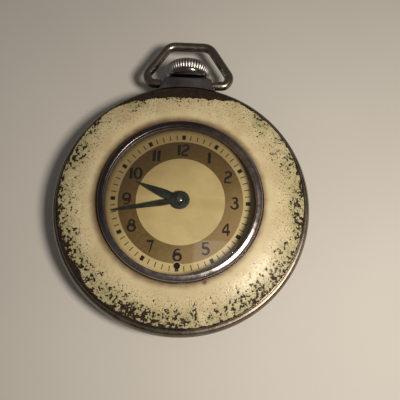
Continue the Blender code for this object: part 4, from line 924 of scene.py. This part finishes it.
def make_dial(cream, brown, black):
    """The dial with its feet, the keyhole's lip and the printed ring, marks and figures."""
    outlines = [circle(0, 0, DIAL_R, 256), circle(0, 0, 1.05, 64), keyhole()]
    disc = bevelled_plate("dial_disc", outlines, DIAL_LOW, DIAL_TOP, 0.04)
    legs = [lathe("dial_leg", rod(0.35, 5.7, 7.79), 32, upright_at(*clock(angle, 17.6)))
            for angle in (45.0, 165.0, 285.0)]
    give(disc, "case", cream, "dial_print", "dial")
    for number, leg in enumerate(legs, 1):
        leg.name = f"dial_foot_{number}"
        give(leg, "case", cream, "dial_print")

    steps, lip_r, lip_wire = 40, 0.70, 0.085
    lip = [(x, y, DIAL_TOP - 0.005) for x, y in arc(0.0, KEYHOLE_Y, lip_r, lip_r, -48, 228, steps)]
    radii = [lip_wire * min(1.0, 0.3 + min(i, steps - i) / 6) for i in range(steps + 1)]
    give(tube("keyhole_lip", lip, radii, 12), "case", cream, "dial_print")

    print_low, ring_top, mark_top = DIAL_TOP + 0.002, DIAL_TOP + 0.008, DIAL_TOP + 0.018
    holes = [circle(0, 0, CHAPTER_IN, 240), circle(0, KEYHOLE_Y, 0.80, 48)]
    ring = plate("dial_chapter_ring", [circle(0, 0, CHAPTER_OUT, 240)], holes, print_low, ring_top)
    give(ring, "case", brown, "dial_print")

    marks = []
    for minute in range(60):
        if minute == 30:
            continue
        inner, outer, half = (12.58, 13.50, 0.36) if minute % 5 == 0 else (12.50, 13.52, 0.08)
        mark = []
        for radius, side in ((inner, -1), (outer, -1), (outer, 1), (inner, 1)):
            x, y = clock(minute * 6.0, radius)
            sx, sy = clock(minute * 6.0 + 90.0, half * side)
            mark.append((x + sx, y + sy))
        marks.append(mark)
    give(plate("dial_minute_marks", marks, [], print_low, ring_top + 0.004), "case", black, "dial_print")

    shapes = []
    wide, tall = FIGURE_SCALE
    for hour in range(1, 13):
        x, y = clock(hour * 30.0, FIGURE_R)
        glyphs = [([[(px * wide, py * tall) for px, py in outline] for outline in outlines], half * wide)
                  for outlines, half in map(digit, str(hour))]
        left = x - sum(half for _, half in glyphs) - FIGURE_GAP * (len(glyphs) - 1) / 2
        for outlines, half in glyphs:
            shapes += [[(left + half + px, y + py) for px, py in outline] for outline in outlines]
            left += 2 * half + FIGURE_GAP
    give(plate("dial_figures", shapes, [], ring_top + 0.001, mark_top), "case", black, "dial_print")


# --------------------------------------------------- the hands
def hand_outline(angle, hub, stations):
    """A hand from its round hub through (distance, half width) stations."""
    along = math.radians(90.0 - angle)
    lean = math.degrees(math.asin(stations[0][1] / hub))
    points = arc(0.0, 0.0, hub, hub, lean, 360.0 - lean, 60)
    points += [(distance, -half) for distance, half in stations]
    points += [(distance, half) for distance, half in stations[::-1]]
    return [(x * math.cos(along) - y * math.sin(along), x * math.sin(along) + y * math.cos(along))
            for x, y in points]


def make_hands(lacquer, steel):
    hour = ((1.9, 0.86), (2.7, 0.90), (3.4, 0.89), (4.2, 0.82), (5.2, 0.69), (7.2, 0.40), (9.32, 0.06))
    minute = ((2.2, 0.56), (2.9, 0.60), (3.6, 0.61), (8.0, 0.42), (12.9, 0.19), (13.02, 0.1))
    for node, angle, hub, stations, hole, bottom in (("hour_hand", HOUR_ANGLE, 1.6, hour, 0.95, 8.5),
                                                     ("minute_hand", MINUTE_ANGLE, 1.8, minute, 0.6, 9.0)):
        outlines = [hand_outline(angle, hub, stations), circle(0, 0, hole, 48)]
        blade = bevelled_plate(node + "_blade", outlines, bottom, bottom + 0.18, 0.045)
        give(blade, node, lacquer, "hand_black", node)
    collar = rounded([(0.6, 9.181, 0.0), (1.0, 9.181, 0.0), (1.0, 9.35, 0.06), (0.6, 9.35, 0.05)])
    give(lathe("minute_hand_collar", collar, 96), "minute_hand", lacquer, "hand_black")
    pin = [(0.0, 9.1), (0.46, 9.1), (0.46, 9.42), (0.42, 9.50), (0.32, 9.56), (0.17, 9.60), (0.0, 9.61)]
    give(lathe("minute_hand_pin", pin, 64), "minute_hand", steel, "steel")


# ------------------------------------------ carried-over nodes
def dress_nodes(steel, sleeve_metal):
    """Materials on the CAD nodes that stay as they are."""
    plates = plate_material()
    for name in ("front_plate", "back_plate", "balance_cock", "pallet_bridge"):
        dress(name, plates)
    dark, light, old = (0.42, 0.27, 0.085), (0.66, 0.46, 0.17), (0.20, 0.115, 0.04)
    for name in ("mainspring_barrel", "barrel_lid", "center_wheel", "third_wheel", "fourth_wheel",
                 "escape_wheel", "hour_wheel", "minute_wheel", "balance_wheel", "dial_spacer_ring"):
        dress(name, turned_metal("brass_" + name, centre(name), dark, light, 0.20, 0.34, old))
    for name in ("crown_wheel", "ratchet_wheel", "setting_wheel", "cannon_pinion", "roller", "barrel_arbor",
                 "balance_staff"):
        dress(name, turned_metal("steel_" + name, centre(name), (0.30, 0.29, 0.28), (0.50, 0.49, 0.48),
                                 0.16, 0.30, STEEL_STAIN))
    blued = worn_metal("blued_steel", (0.020, 0.035, 0.16), (0.05, 0.09, 0.33), 0.16, 0.26, relief=0.002)
    for name in nodes:
        if "screw" in name or name == "hairspring":
            dress(name, blued)
    for name in ("winding_stem", "winding_pinion", "clutch_wheel", "setting_lever", "clutch_lever", "click",
                 "click_spring", "mainspring", "pallet_lever", "regulator"):
        dress(name, steel)
    dress("stem_sleeve", sleeve_metal)
    # painted shade: the stud near black, standing in for the shade inside the keyhole
    stud_shade_dark = worn_metal("stud_painted_shade", (0.010, 0.008, 0.006), (0.030, 0.022, 0.016), 0.35, 0.5)
    dress("dial_locating_stud", stud_shade_dark)
    pillar = worn_metal("pillar_brass", dark, light, 0.2, 0.34, relief=0.002, tarnish=old)
    for number in range(1, 5):
        dress(f"pillar_{number}", pillar)


def dress(name, material):
    for slot in nodes[name].material_slots:
        slot.material = material


# ------------------------------------------- camera and lights
def area_light(name, place, size, power, colour, aim):
    """A round light of one size, or a rectangle of two."""
    data = bpy.data.lights.new(name, "AREA")
    data.shape = "DISK"
    data.size = size[0]
    if len(size) == 2:
        data.shape = "RECTANGLE"
        data.size_y = size[1]
    data.energy = power
    data.color = colour
    lamp = link(name, data)
    lamp.location = place
    lamp.rotation_euler = (Vector(aim) - Vector(place)).to_track_quat("-Z", "Y").to_euler()


def make_studio():
    """A pale floor, a faint even surround, two lights and the camera. Places are in metres."""
    half = 1500
    floor = add_object("floor", [(-half, -half, 0), (half, -half, 0), (half, half, 0), (-half, half, 0)],
                       [(0, 1, 2, 3)])
    floor.data.materials.append(floor_material())
    world = bpy.data.worlds.new("studio_world")
    world.use_nodes = True
    background = world.node_tree.nodes["Background"]
    background.inputs["Color"].default_value = (1.0, 0.93, 0.86, 1.0)
    background.inputs["Strength"].default_value = 0.11
    bpy.context.scene.world = world
    bpy.context.scene.view_settings.view_transform = "Standard"
    area_light("key_light", (0.0625, -0.0303, 0.129), (0.033,), 0.178, (1.0, 0.90, 0.76), (0.0, 0.0, 0.006))
    area_light("window_light", (0.0555, -0.041, 0.311), (0.080, 0.058), 0.012, (1.0, 0.95, 0.88),
               (0.0555, -0.041, 0.0))

    data = bpy.data.cameras.new("camera")
    data.lens = 40.5
    data.sensor_width = 36.0
    data.clip_start = 0.002
    data.clip_end = 20.0
    camera = link("camera", data)
    camera.location = (0.004644, -0.021107, 0.092659)
    camera.rotation_euler = Euler((math.radians(14.31), math.radians(-0.07), math.radians(2.60)))
    bpy.context.scene.camera = camera


STEEL_STAIN = (0.16, 0.11, 0.08)
case_metal = worn_metal("case_nickel_worn", (0.115, 0.094, 0.072), (0.205, 0.172, 0.135), 0.24, 0.35,
                        tarnish=(0.08, 0.052, 0.032))
neck_metal = worn_metal("neck_nickel_dull", (0.165, 0.150, 0.155), (0.26, 0.24, 0.25), 0.34, 0.46,
                        relief=0.001, tarnish=(0.10, 0.085, 0.08), pitting=0.4)
bow_metal = worn_metal("bow_bronzed", (0.215, 0.188, 0.156), (0.295, 0.264, 0.226), 0.23, 0.28,
                       relief=0.0003, tarnish=(0.195, 0.166, 0.134), pitting=0.0)
rim_metal = worn_metal("rim_nickel_worn", (0.105, 0.087, 0.070), (0.185, 0.160, 0.132), 0.19, 0.27,
                       relief=0.002, tarnish=(0.07, 0.050, 0.034))
steel = worn_metal("steel_polished", (0.36, 0.35, 0.34), (0.54, 0.53, 0.52), 0.16, 0.32, relief=0.002,
                   tarnish=STEEL_STAIN)
# the brown ring takes painted light towards the lower right
brown_ink = print_material("print_brown", (0.122, 0.075, 0.020), (0.155, 0.098, 0.029),
                           (0.33, 0.235, 0.110), 0.8)
black_ink = print_material("print_black", (0.008, 0.004, 0.002), (0.014, 0.008, 0.004), (0.028, 0.017, 0.008))
make_back(case_metal)
make_band(case_metal)
make_neck(neck_metal)
make_bow(bow_metal)
make_crown(crown_material())
make_bezel(enamel_material(), rim_metal)
make_crystal_ring(ring_material())
make_crystal(crystal_material())
make_dial(dial_material(), brown_ink, black_ink)
make_hands(hand_material(), steel)
dress_nodes(steel, case_metal)
make_studio()
